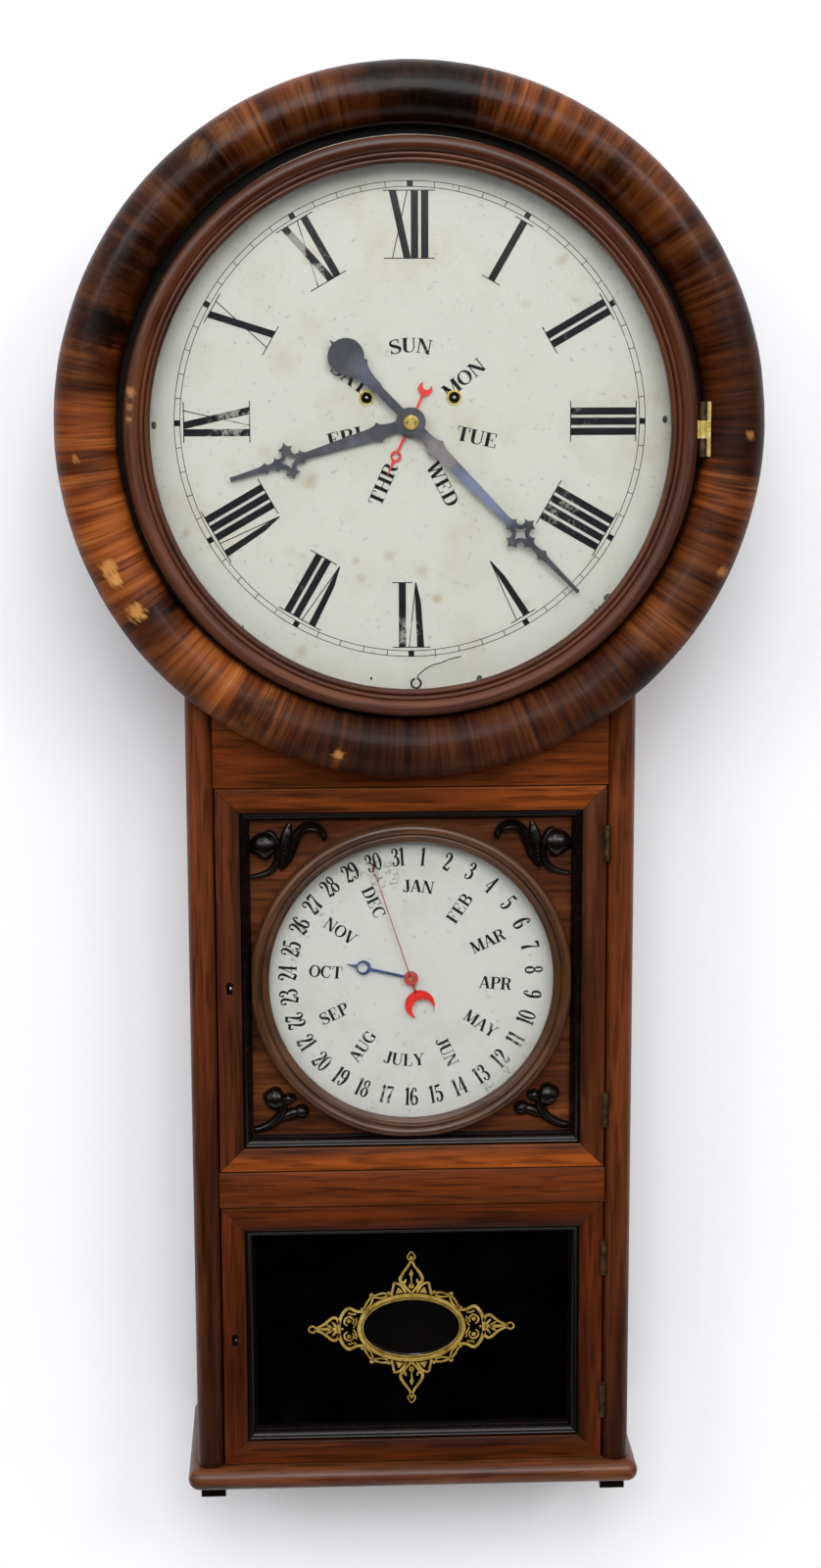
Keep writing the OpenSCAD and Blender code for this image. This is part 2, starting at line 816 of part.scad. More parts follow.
// Carved sprays in the corners of the panel, mirrored left and right
module corner_carvings() {
    x = -sight_x;
    top = upper_top - door_gap - stile_w - bead_w;
    low = upper_bottom + door_gap + stile_w + bead_w;
    color(ebony) at_dial() for (s = [0, 1]) mirror([s, 0, 0]) {
        carved_bud([x + 11.5, top - 18.5], 8.6);
        carved_arc([x + 12, top - 19], 10.5, -75, 70, 5);
        carved_leaf([x + 28.5, top - 17.5], 32, 10, 5, -10);
        carved_arc([x + 47, top - 12], 8.2, -20, 200, 5);
        carved_leaf([x + 35.5, top - 19.5], 26, 5.4, 4, -24);
        carved_arc([x + 3, top - 20.5], 19.5, -88, -25, 5.4);
        carved_bud([x + 17, low + 28.5], 7.2);
        carved_bud([x + 28.5, low + 28.5], 4.4);
        carved_bud([x + 38, low + 20], 5.4);
        carved_leaf([x + 27, low + 22.5], 22, 8, 4.5, 40);
        carved_arc([x + 3.5, low + 27.5], 20.5, -88, -8, 5.4);
        carved_leaf([x + 30.5, low + 18.5], 18, 5, 4, 70);
    }
}

// Latch of a door: an arbor turned by the key and a tongue behind the stile
module door_latch(z) {
    disc(tongue_f, front_f - 2, latch_arbor_r, [latch_x, z]);
    flat(tongue_f, tongue_f + tongue_t, [latch_x, z]) {
        circle(r = tongue_w / 2);
        translate([-tongue_w / 2, -tongue_l + tongue_w / 2]) square([tongue_w, tongue_l - tongue_w / 2]);
        translate([0, -tongue_l + tongue_w / 2]) circle(r = tongue_w / 2);
    }
}

module calendar_latch() {
    color(brass) at_dial() door_latch(cal_z);
}

// Pendulum door

module pendulum_door_frame() {
    color(walnut) at_dial() door_frame(lower_bottom + door_gap, lower_top - door_gap, tablet_z,
        lower_hinge_z);
}

module pendulum_door_bead() {
    color(ebony) at_dial() door_bead(lower_bottom + door_gap, lower_top - door_gap, rabbet_f);
}

module tablet_glass() {
    x = frame_x - stile_w + rabbet_w - side_gap;
    z = lower_h / 2 - door_gap - stile_w + rabbet_w - side_gap;
    color(ebony) at_dial() slab(-x, x, tablet_glass_f, rabbet_f, tablet_z - z, tablet_z + z);
}

module pendulum_latch() {
    color(brass) at_dial() door_latch(tablet_z);
}

// Movement frame

// Bores of the arbors that run in both movement plates
module arbor_bores(f0, f1) {
    for (s = [-1, 1]) disc(f0, f1, wind_arbor_r + run_gap, [s * wind_x, wind_z]);
    disc(f0, f1, centre_r + run_gap);
    for (z = [third_z, escape_z, verge_z]) disc(f0, f1, arbor_r + run_gap, [0, z]);
}

module movement_seat() {
    color(pine) at_dial() for (s = [0, 1]) mirror([s, 0, 0])
        slab(seat_in_x, plate_w / 2, back_t, plate_back, -plate_down, plate_up);
}

// Back plate with four riveted pillars and the cock that holds the pendulum spring
module movement_back_plate() {
    pillar_in = 8;
    pillar_r = 3.5;
    pillar_x = plate_w / 2 - pillar_in;
    cock_x = 5;
    cock_low = verge_z + 5;
    cock_back = pendulum_f - 4;
    color(brass) at_dial() difference() {
        union() {
            slab(-plate_w / 2, plate_w / 2, plate_back, back_in, -plate_down, plate_up);
            for (x = [-pillar_x, pillar_x]) for (z = [pillar_in - plate_down, plate_up - pillar_in])
                disc(back_in, front_in, pillar_r, [x, z]);
            slab(-cock_x, cock_x, cock_back, plate_back, cock_low, cock_low + 6);
            slab(-cock_x, cock_x, cock_back, pendulum_f + 3, verge_z + side_gap, cock_low);
        }
        arbor_bores(plate_back - eps, back_in + eps);
        disc(plate_back - eps, back_in + eps, arbor_r + run_gap, hammer_at);
    }
}

// Front plate with the studs of the minute wheel and the daily cam
module movement_front_plate() {
    color(brass) at_dial() {
        difference() {
            slab(-plate_w / 2, plate_w / 2, front_in, plate_front, -plate_down, plate_up);
            arbor_bores(front_in - eps, plate_front + eps);
        }
        disc(plate_front, hour_wheel_f + wheel_t, arbor_r, [0, -motion_dist]);
        disc(plate_front, cam_wheel_f + wheel_t + 2, arbor_r, cam_at);
    }
}

// Going train

// Winding arbor with its barrel and great wheel; the square end takes the key
module winding_arbor(at, wheel_f, drum_f, phase) {
    disc(plate_back, plate_front + 2, wind_arbor_r, at);
    flat(plate_front + 2, dial_f - 1, at) square(wind_square, center = true);
    flat(wheel_f, wheel_f + wheel_t, at) gear2d(great_n, great_m, phase);
    disc(drum_f, drum_f + drum_h, drum_r, at);
}

module time_great_wheel() {
    color(brass) at_dial() winding_arbor([wind_x, wind_z], time_wheel_f, time_wheel_f - drum_h,
        wind_angle + 180);
}

module strike_great_wheel() {
    color(brass) at_dial() winding_arbor([-wind_x, wind_z], strike_wheel_f,
        strike_wheel_f + wheel_t, 0);
}

module centre_wheel() {
    color(brass) at_dial() {
        disc(plate_back - 1, minute_hand_f, centre_r);
        flat(centre_wheel_f, centre_wheel_f + wheel_t) spoked2d(6, centre_m * centre_n / 2 - 3.5, 5)
            gear2d(centre_n, centre_m, 90);
        flat(time_wheel_f - 1, front_in - side_gap) gear2d(centre_pinion_n, great_m,
            mate(wind_angle + 180, centre_pinion_n));
    }
}

module third_wheel() {
    at = [0, third_z];
    color(brass) at_dial() {
        disc(plate_back - 1, plate_front + 1, arbor_r, at);
        flat(third_wheel_f, third_wheel_f + wheel_t, at)
            spoked2d(4.5, third_m * third_n / 2 - 3, 5) gear2d(third_n, third_m, 90);
        flat(centre_wheel_f - 1, centre_wheel_f + wheel_t + 1, at)
            gear2d(third_pinion_n, centre_m, mate(90, third_pinion_n));
    }
}

module escape_wheel() {
    at = [0, escape_z];
    color(brass) at_dial() {
        disc(plate_back - 1, plate_front + 1, arbor_r, at);
        flat(escape_wheel_f, escape_wheel_f + wheel_t, at) spoked2d(4, escape_r - 4, 4)
            ratchet2d(escape_n, escape_r, 2);
        flat(third_wheel_f - 1, third_wheel_f + wheel_t + 1, at)
            gear2d(escape_pinion_n, third_m, mate(90, escape_pinion_n));
    }
}

// Verge: its arbor, the bent pallet strip over the escape wheel and the crutch
module verge() {
    at = [0, verge_z];
    strip_f = escape_wheel_f - 1.5;
    pallet_clear = escape_r + pallet_gap;
    strip_w = 4.5;
    strip_x = escape_r * 0.88;
    neck_w = 5;
    prong_x = rod_r + side_gap;
    prong_out = prong_x + 1.5;
    fork_h = 2;
    color(steel) at_dial() {
        disc(crutch_f - 1, plate_front + 1, arbor_r, at);
        flat(strip_f, strip_f + strip_w) difference() {
            intersection() {
                translate([0, escape_z]) circle(r = pallet_clear + pallet_t);
                translate([-strip_x, escape_z + escape_r * 0.7]) square([2 * strip_x, escape_r]);
            }
            translate([0, escape_z]) circle(r = pallet_clear);
        }
        flat(strip_f, strip_f + strip_w) translate([-neck_w / 2, escape_z + pallet_clear + pallet_t / 3])
            square([neck_w, verge_z - escape_z - pallet_clear]);
        disc(crutch_f - 1.5, crutch_f + 2.5, 3.5, at);
        upright(0, crutch_f, crutch_z, verge_z, 1.2);
        slab(-prong_out, prong_out, crutch_f - 2, crutch_f + 2, crutch_z - fork_h, crutch_z + fork_h);
        for (s = [0, 1]) mirror([s, 0, 0]) slab(prong_x, prong_out, pendulum_f - 4, crutch_f + 2,
            crutch_z - fork_h, crutch_z + fork_h);
    }
}

// Pendulum rod with its flat spring above and the rating nut below the bob
module pendulum_rod() {
    nut_top = bob_z - bob_r;
    nut_out = 7;
    spring_l = 24;
    spring_lap = 4;
    spring_t = 0.4;
    thread_l = 14;
    color(pine) at_dial() {
        slab(-spring_t / 2, spring_t / 2, pendulum_f - 3, pendulum_f + 3, verge_z - spring_l, verge_z);
        upright(0, pendulum_f, nut_top - thread_l, verge_z - spring_l + spring_lap, rod_r);
        upright(0, pendulum_f, nut_top - 6, nut_top, nut_out);
    }
}

// Lens-shaped bob with an upright bore for the rod
module pendulum_bob() {
    lens_r = (bob_r * bob_r / (bob_t / 2) + bob_t / 2) / 2;
    off = lens_r - bob_t / 2;
    color(brass) at_dial() difference() {
        turned(pendulum_f, [0, bob_z]) intersection() {
            translate([0, -off]) circle(r = lens_r, $fn = 200);
            translate([0, off]) circle(r = lens_r, $fn = 200);
            translate([0, -bob_t]) square([bob_r - 0.4, 2 * bob_t]);
        }
        upright(0, pendulum_f, bob_z - bob_r - eps, bob_z + bob_r + eps, rod_r + run_gap);
    }
}

// Strike

// Hammer: an arbor in the back plate, a drop arm and a round head beside the gong
module hammer() {
    head_z = hammer_at[1] - hammer_l;
    arm_f = gong_f + gong_wire / 2;
    color(steel) at_dial() {
        disc(arm_f - 3, back_in + 1, arbor_r, hammer_at);
        upright(hammer_at[0], arm_f, head_z, hammer_at[1], 1.3);
        disc(arm_f - 3, arm_f + 3, 3, hammer_at);
        disc(arm_f - 5, arm_f + 9, hammer_r, [hammer_at[0], head_z]);
    }
}

// Flat coil of rectangular steel wire on a cast foot
module gong() {
    hub = 9;
    turns = (gong_r - hub) / gong_pitch;
    steps = 28;
    count = floor(turns * steps);
    function at_angle(i) = -180 - (count - i) * 360 / steps;
    function coil_r(i) = gong_r - (count - i) * gong_pitch / steps;
    outer = [for (i = [0:count]) coil_r(i) * [cos(at_angle(i)), sin(at_angle(i))]];
    inner = [for (i = [count:-1:0]) (coil_r(i) - gong_wire) * [cos(at_angle(i)), sin(at_angle(i))]];
    color(blued) at_dial() {
        flat(gong_f, gong_f + gong_wire, gong_at) polygon(concat(outer, inner));
        disc(back_t, gong_f + gong_wire + 3, hub, gong_at);
        disc(back_t, back_t + 3, hub + 9, gong_at);
    }
}

// Motion work and day work

module cannon_pinion() {
    color(brass) at_dial() difference() {
        union() {
            disc(plate_front + 1, minute_hand_f + hand_t + nut_h, cannon_r);
            flat(minute_wheel_f - 0.8, minute_wheel_f + wheel_t + 0.8)
                gear2d(cannon_n, cannon_m, -90);
        }
        disc(plate_front, minute_hand_f + hand_t + nut_h + eps, centre_r + run_gap);
    }
}

module minute_wheel() {
    at = [0, -motion_dist];
    color(brass) at_dial() difference() {
        union() {
            flat(minute_wheel_f, minute_wheel_f + wheel_t, at)
                gear2d(minute_n, cannon_m, mate(-90, minute_n));
            flat(minute_wheel_f + wheel_t, hour_wheel_f + wheel_t, at)
                gear2d(minute_pinion_n, hour_m, 90);
        }
        disc(plate_front, hub_f + eps, arbor_r + run_gap, at);
    }
}

module hour_wheel() {
    color(brass) at_dial() difference() {
        union() {
            disc(hour_wheel_f, hour_hand_f + hand_t, hour_pipe_r);
            flat(hour_wheel_f, hour_wheel_f + wheel_t) gear2d(hour_n, hour_m, mate(90, hour_n));
            flat(hub_f, hub_f + 2) gear2d(hub_n, cam_m, cam_angle);
        }
        disc(hour_wheel_f - eps, hour_hand_f + hand_t + eps, cannon_r + run_gap);
    }
}

// Wheel that turns once a day, with the pin that lifts the calendar rod
module day_cam_wheel() {
    pin_at = cam_at + 12 * [cos(cam_angle), sin(cam_angle)];
    color(brass) at_dial() difference() {
        union() {
            flat(cam_wheel_f, cam_wheel_f + wheel_t, cam_at)
                gear2d(cam_n, cam_m, mate(cam_angle, cam_n));
            disc(cam_wheel_f, cam_wheel_f + wheel_t + 1.2, 4, cam_at);
            disc(cam_wheel_f, cam_wheel_f + wheel_t + 1.2, 1.2, pin_at);
        }
        disc(plate_front, cam_wheel_f + wheel_t + 2 + eps, arbor_r + run_gap, cam_at);
    }
}

// Seven-pointed star on the pipe of the day hand
module day_wheel() {
    tip = 14;
    color(brass) at_dial() difference() {
        union() {
            disc(star_f, day_hand_f + hand_t, day_pipe_r);
            flat(star_f, star_f + wheel_t) polygon([for (i = [0:13])
                (i % 2 == 0 ? tip : tip * 0.68) * [cos(90 + i * 180 / 7), sin(90 + i * 180 / 7)]]);
        }
        disc(star_f - eps, day_hand_f + hand_t + eps, hour_pipe_r + run_gap);
    }
}

// Hands

// Points of a right edge whose half-width grows from w0 to just short of w1 in a hollow curve
function hollow(w0, w1, y0, y1) = [for (i = [0:5]) let (t = i / 6)
    [w0 + (w1 - w0) * (1 - sqrt(1 - t * t)), y0 + (y1 - y0) * t]];

// The same points from the last to the first
function flip(points) = [for (i = [len(points) - 1:-1:0]) points[i]];

// Flat shape that is alike on both sides of its axis, from its right edge upward
module mirrored2d(edge) {
    polygon(concat(edge, [for (p = flip(edge)) [-p[0], p[1]]]));
}

// Pierced node of a blued hand: four fishtail lobes round a hollow-sided opening
module hand_node2d() {
    square([2 * cusp_w, 2 * cusp_y], center = true);
    square([2 * cusp_y, 2 * cusp_w], center = true);
    for (s = [-1, 1]) rotate(90 * s) mirrored2d(concat([[arm_w, cusp_y - 0.7], [cusp_w, cusp_y]],
        flip(hollow(0.4, cusp_w, lobe_y, cusp_y))));
}

// Openings of the node: four round bites and the hollow-sided square
module hand_openings2d() {
    bite_y = 8.9;
    bite_r = 2.9;
    corner_y = 5.6;
    side_y = 11.65;
    side_r = 8.65;
    for (a = [45:90:315]) rotate(a) translate([0, bite_y]) circle(r = bite_r);
    difference() {
        rotate(45) square(corner_y * sqrt(2), center = true);
        for (a = [45:90:315]) rotate(a) translate([0, side_y]) circle(r = side_r);
    }
}

// Blued hand that points up: hub, barbs, tapered arm, pierced node, small barbs and slim end
module blued_hand2d(l, node_y, barb_y, small_y, end_w, hub) {
    neck_w = 3.8;
    barb_w = 7.1;
    shoulder_w = 4.2;
    barb_fall = 11.5;
    small_w = 4.4;
    slim_w = 1.9;
    circle(r = hub);
    difference() {
        union() {
            mirrored2d(concat([[neck_w, hub - 2]], hollow(neck_w, barb_w, hub + 2, barb_y),
                [[barb_w, barb_y]], flip(hollow(shoulder_w, barb_w, barb_y + barb_fall, barb_y)),
                hollow(arm_w, cusp_w, node_y - lobe_y - 1, node_y - cusp_y),
                [[cusp_w, node_y - cusp_y], [arm_w, node_y - cusp_y + 0.7]]));
            mirrored2d(concat([[arm_w, node_y + cusp_y - 0.7], [cusp_w, node_y + cusp_y]],
                flip(hollow(slim_w, cusp_w, node_y + lobe_y, node_y + cusp_y)),
                hollow(slim_w, small_w, node_y + lobe_y + 1, small_y), [[small_w, small_y]],
                flip(hollow(slim_w, small_w, small_y + 8, small_y)),
                [[end_w - 0.2, l - 3], [end_w, l]]));
            translate([0, node_y]) hand_node2d();
        }
        translate([0, node_y]) hand_openings2d();
    }
}

// Counterpoise of the minute hand, drawn upward: stem, shoulders, bulb and ogee point
module counterpoise2d() {
    stem_w = 3;
    step_y = 31;
    shoulder_w = 9;
    shoulder_y = 51;
    bulb_r = 12.5;
    bulb_y = 62.7;
    point_y = 78;
    mirrored2d(concat([[stem_w, hub_r - 2], [stem_w, step_y]],
        hollow(stem_w + 0.9, shoulder_w, step_y + 1, shoulder_y),
        [[shoulder_w, shoulder_y], [shoulder_w - 0.8, shoulder_y + 1.3], [stem_w, bulb_y]]));
    translate([0, bulb_y]) circle(r = bulb_r);
    mirrored2d(concat([[stem_w, bulb_y]], flip(hollow(0.4, bulb_r * 0.6, point_y, point_y - 6))));
}

module minute_hand() {
    node_y = minute_l - 57.4;
    color(blued) at_dial() flat(minute_hand_f, minute_hand_f + hand_t) rotate(-135.3) difference() {
        union() {
            blued_hand2d(minute_l, node_y, hub_r + 14.5, node_y + 21, 1.5, hub_r);
            rotate(180) counterpoise2d();
        }
        circle(r = cannon_r + press_gap);
    }
}

module hour_hand() {
    node_y = hour_l - 42.2;
    color(blued) at_dial() flat(hour_hand_f, hour_hand_f + hand_t) rotate(-252.8) difference() {
        blued_hand2d(hour_l, node_y, hub_r + 12.6, node_y + 16.3, 1.7, hub_r + 0.2);
        circle(r = hour_pipe_r + press_gap);
    }
}

// Brass nut that holds the minute hand
module hand_nut() {
    color(brass) at_dial() turned(minute_hand_f + hand_t) {
        translate([cannon_r + press_gap, 0]) square([nut_r - cannon_r - press_gap, nut_h - 0.6]);
        translate([cannon_r + press_gap, nut_h - 0.6])
            square([nut_r - cannon_r - press_gap - 0.5, 0.5]);
    }
}

// Half-moon with its horns pointing down
module crescent2d(r, inner_r, shift) {
    difference() {
        circle(r = r);
        translate([0, -shift]) circle(r = inner_r);
    }
}

// Ring that ends in a hollow-sided point, with an opening shifted towards the point
module eye2d(eye_r, hole_r, shift, point_y) {
    difference() {
        union() {
            circle(r = eye_r);
            mirrored2d(concat([[eye_r * 0.5, 0]], flip(hollow(0.3, eye_r * 0.7, point_y, eye_r * 0.6))));
        }
        translate([0, shift]) circle(r = hole_r);
    }
}

module day_hand() {
    eye_y = day_l - 13.7;
    eye_r = 3.7;
    moon_y = 24.6;
    moon_r = 4.8;
    stem_w = 0.8;
    color(red_paint) at_dial() flat(day_hand_f, day_hand_f + hand_t) rotate(-204) difference() {
        union() {
            circle(r = hub_r);
            translate([-stem_w, 0]) square([2 * stem_w, eye_y - eye_r + 0.5]);
            translate([0, eye_y]) eye2d(eye_r, 2.2, 0.3, day_l - eye_y);
            translate([-stem_w, moon_r - moon_y - 1]) square([2 * stem_w, moon_y - moon_r + 1]);
            translate([0, -moon_y]) crescent2d(moon_r, 3, 2.5);
        }
        circle(r = day_pipe_r + press_gap);
    }
}

// Calendar work

module calendar_dial() {
    color(dial_paint) at_dial() difference() {
        disc(cal_dial_f, cal_dial_f + dial_t, cal_dial_r, [0, cal_z]);
        disc(cal_dial_f - eps, cal_dial_f + dial_t + eps, month_pipe_r + 0.6, [0, cal_z]);
    }
}

// Brass bridge across the case, with end tabs, posts for the dial and ears for the link rod
module calendar_plate() {
    half_h = cal_plate_h / 2;
    color(brass) at_dial() difference() {
        union() {
            slab(-inner_x, inner_x, cal_plate_f, cal_plate_f + plate_t, cal_z - half_h, cal_z + half_h);
            for (s = [0, 1]) mirror([s, 0, 0]) slab(inner_x - plate_t, inner_x, cal_plate_f - 18,
                cal_plate_f + plate_t, cal_z - half_h, cal_z + half_h);
            for (x = [-post_x, post_x]) for (z = [-post_z, post_z])
                disc(cal_plate_f, cal_dial_f, 3, [x, cal_z + z]);
            for (z = ear_z) slab(rod_x - 5, rod_x + 5, cal_plate_f, link_f + 4, z, z + ear_t);
            disc(cal_plate_f - 4, cal_plate_f + plate_t + 2, 7, [0, cal_z]);
        }
        disc(cal_plate_f - 4 - eps, cal_plate_f + plate_t + 2 + eps, date_arbor_r + run_gap, [0, cal_z]);
        for (z = ear_z) upright(rod_x, link_f, z - eps, z + ear_t + eps, link_r + run_gap);
    }
}

// Ratchet of thirty-one teeth on the arbor of the date hand
module date_wheel() {
    color(brass) at_dial() {
        disc(cal_plate_f - 6, date_hand_f, date_arbor_r, [0, cal_z]);
        disc(date_hand_f, date_hand_f + hand_t + 0.6, date_end_r, [0, cal_z]);
        flat(date_wheel_f, date_wheel_f + wheel_t, [0, cal_z]) spoked2d(8, date_wheel_r - 7, 5)
            ratchet2d(date_n, date_wheel_r, 3);
        disc(cal_plate_f + plate_t + 2 + side_gap, month_wheel_f - side_gap, 5, [0, cal_z]);
    }
}

// Twelve-toothed wheel on the pipe of the month hand
module month_wheel() {
    color(brass) at_dial() difference() {
        union() {
            disc(month_wheel_f, month_hand_f + hand_t, month_pipe_r, [0, cal_z]);
            flat(month_wheel_f, month_wheel_f + wheel_t, [0, cal_z]) spoked2d(7, month_wheel_r - 8, 4)
                ratchet2d(12, month_wheel_r, 4);
        }
        disc(month_wheel_f - eps, month_hand_f + hand_t + eps, date_arbor_r + run_gap, [0, cal_z]);
    }
}

module date_hand() {
    moon_y = 20;
    moon_r = 10.6;
    stem_w = 0.7;
    color(red_paint) at_dial() flat(date_hand_f, date_hand_f + hand_t, [0, cal_z]) rotate(-341.8)
        difference() {
            union() {
                circle(r = cal_hub_r);
                polygon([[-stem_w, 0], [stem_w, 0], [stem_w / 2, date_l], [-stem_w / 2, date_l]]);
                translate([-stem_w, moon_r - moon_y - 1]) square([2 * stem_w, moon_y - moon_r + 1]);
                translate([0, -moon_y]) crescent2d(moon_r, 7.2, 3.5);
            }
            circle(r = date_end_r + press_gap);
        }
}

module month_hand() {
    eye_y = month_l - 12;
    eye_r = 5.3;
    stem_w = 1;
    color(blued) at_dial() flat(month_hand_f, month_hand_f + hand_t, [0, cal_z]) rotate(-283.4)
        difference() {
            union() {
                circle(r = cal_hub_r);
                translate([-stem_w, 0]) square([2 * stem_w, eye_y - eye_r + 0.5]);
                translate([0, eye_y]) eye2d(eye_r, 3.6, 0.7, month_l - eye_y);
            }
            circle(r = month_pipe_r + press_gap);
        }
}

// Cranked wire that carries the daily lift from the cam down to the date ratchet
module calendar_rod() {
    arm_f = cam_wheel_f + wheel_t + 1;
    reach_x = cam_at[0] - cam_m * (cam_n / 2 + 0.9) - 1;
    push_x = -sqrt(date_wheel_r * date_wheel_r - pow(link_push_z - link_r - cal_z, 2)) - 1;
    color(steel) at_dial() {
        upright(rod_x, link_f, ear_z[1] - 4, link_top, link_r);
        translate([rod_x, -link_f, link_top]) sphere(r = link_r);
        disc(link_f, arm_f, link_r, [rod_x, link_top]);
        translate([rod_x, -arm_f, link_top]) sphere(r = link_r);
        crossbar(rod_x, reach_x, arm_f, link_top, link_r);
        crossbar(rod_x, push_x, link_f, link_push_z, link_r);
    }
}

back_board();
left_side();
right_side();
case_top();
front_rails();
base_board();
base_feet();
dial_board();
head_ring();
main_dial();
dial_screws();
winding_grommets();
hanger_plate();
fixed_hinge_leaves();
hinge_pins();
movement_seat();
movement_back_plate();
movement_front_plate();
gong();
calendar_dial();
calendar_plate();
bezel_ring();
bezel_glass();
bezel_hinge_leaf();
calendar_door_frame();
calendar_door_bead();
calendar_panel();
calendar_bezel();
calendar_glass();
corner_carvings();
calendar_hinge_leaves();
calendar_latch();
pendulum_door_frame();
pendulum_door_bead();
tablet_glass();
pendulum_hinge_leaves();
pendulum_latch();
minute_hand();
cannon_pinion();
hand_nut();
hour_hand();
hour_wheel();
minute_wheel();
day_cam_wheel();
day_hand();
day_wheel();
time_great_wheel();
centre_wheel();
third_wheel();
escape_wheel();
verge();
pendulum_rod();
pendulum_bob();
strike_great_wheel();
hammer();
date_hand();
date_wheel();
month_hand();
month_wheel();
calendar_rod();
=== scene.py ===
import math
import random
import bmesh
import bpy
from mathutils import Matrix, Vector


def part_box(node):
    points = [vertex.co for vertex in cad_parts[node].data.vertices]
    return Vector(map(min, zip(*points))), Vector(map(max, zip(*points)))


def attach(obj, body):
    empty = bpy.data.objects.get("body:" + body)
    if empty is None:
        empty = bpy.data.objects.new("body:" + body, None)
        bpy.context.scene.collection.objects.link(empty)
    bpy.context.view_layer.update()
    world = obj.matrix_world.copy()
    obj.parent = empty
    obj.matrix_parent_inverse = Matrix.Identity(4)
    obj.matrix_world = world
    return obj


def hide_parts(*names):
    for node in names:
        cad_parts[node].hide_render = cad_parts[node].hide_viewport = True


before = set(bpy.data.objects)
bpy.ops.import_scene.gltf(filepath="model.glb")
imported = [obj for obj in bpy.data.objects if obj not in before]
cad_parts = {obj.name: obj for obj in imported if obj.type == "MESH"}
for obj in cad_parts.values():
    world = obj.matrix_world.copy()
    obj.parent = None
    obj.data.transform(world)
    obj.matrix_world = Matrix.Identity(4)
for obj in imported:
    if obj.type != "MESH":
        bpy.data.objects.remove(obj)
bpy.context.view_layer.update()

scene = bpy.context.scene
scene.view_settings.view_transform = "Standard"
mm = 0.001
dialDrop = 150.0  # dial centre below the hanger hole, the origin of the frame
calendarZ, tabletZ = -397.5, -661.5  # centres of the calendar dial and of the tablet, from the dial centre
dialFace, panelFront = 126.0, 106.8  # fronts of the time dial and of the door panels, from the wall


def at(x, f, z):  # millimetres right of, forward of the wall and above the dial centre
    return Vector((x * mm, -f * mm, (z - dialDrop) * mm))


def hexLinear(text):
    values = [int(text[i:i + 2], 16) / 255 for i in (1, 3, 5)]
    return [v / 12.92 if v <= 0.04045 else ((v + 0.055) / 1.055) ** 2.4 for v in values] + [1.0]


def plug(tree, socket, value):  # a value, a tone, a socket or a node, which stands for its first live output
    if isinstance(value, bpy.types.Node):
        value = next(out for out in value.outputs if out.enabled)
    if isinstance(value, bpy.types.NodeSocket):
        tree.links.new(value, socket)
    else:
        tone = isinstance(value, str) and value.startswith("#")
        socket.default_value = hexLinear(value) if tone else value


def feed(tree, node, links):  # inputs by name or number
    for key, value in links.items():
        plug(tree, node.inputs[key], value)


def put(tree, kind, *values, stops=(), **settings):
    # one node; kind may name its operation, as in "Math ADD"; values go to its live inputs in order, or by name
    short, _, how = kind.partition(" ")
    full = {"Vector": "VectorMath", "Blend": "Mix"}.get(short, short)
    node = tree.nodes.new(full if "Node" in full else "ShaderNode" + full)
    if short == "Blend":
        settings = {"data_type": "RGBA", "blend_type": how}
    elif how:
        settings = {"operation": how}
    for key, value in settings.items():
        setattr(node, key, value)
    for i, (place, tone) in enumerate(stops):  # the ramp has its first and last stop already
        ends = node.color_ramp.elements
        stop = ends[0] if i == 0 else ends[-1] if i == len(stops) - 1 else ends.new(place)
        stop.position = place
        stop.color = hexLinear(tone) if isinstance(tone, str) else (tone, tone, tone, 1)
    live = [socket for socket in node.inputs if socket.enabled]
    for i, value in enumerate(values):
        if isinstance(value, dict):
            feed(tree, node, value)
        else:
            plug(tree, live[i], value)
    return node


def newFinish(name):
    finish = bpy.data.materials.new(name)
    finish.use_nodes = True
    return finish, finish.node_tree, finish.node_tree.nodes["Principled BSDF"]


def meshOf(name, points, faces=()):
    mesh = bpy.data.meshes.new(name)
    mesh.from_pydata(points, [], faces)
    return mesh


# camera and stage
view = {"place": (-79.74, dialFace + 1797.75, 67.34), "yaw": 2.513, "pitch": 10.052, "roll": -0.1865,
        "focalShare": 2658.1 / 1600, "sensor": 24.0}
camera = bpy.data.objects.new("camera", bpy.data.cameras.new("camera"))
scene.collection.objects.link(camera)
scene.camera = camera
camera.data.sensor_fit = "VERTICAL"
camera.data.sensor_height = view["sensor"]
camera.data.lens = view["focalShare"] * view["sensor"]
yaw, pitch, roll = (math.radians(view[k]) for k in ("yaw", "pitch", "roll"))
ahead = Vector((math.sin(yaw) * math.cos(pitch), math.cos(yaw) * math.cos(pitch), -math.sin(pitch)))
right = Vector((math.cos(yaw), -math.sin(yaw), 0))
above = right.cross(ahead)
side = right * math.cos(roll) + above * math.sin(roll)
up = above * math.cos(roll) - right * math.sin(roll)
camera.matrix_world = Matrix.Translation(at(*view["place"])) @ Matrix((side, up, -ahead)).transposed().to_4x4()

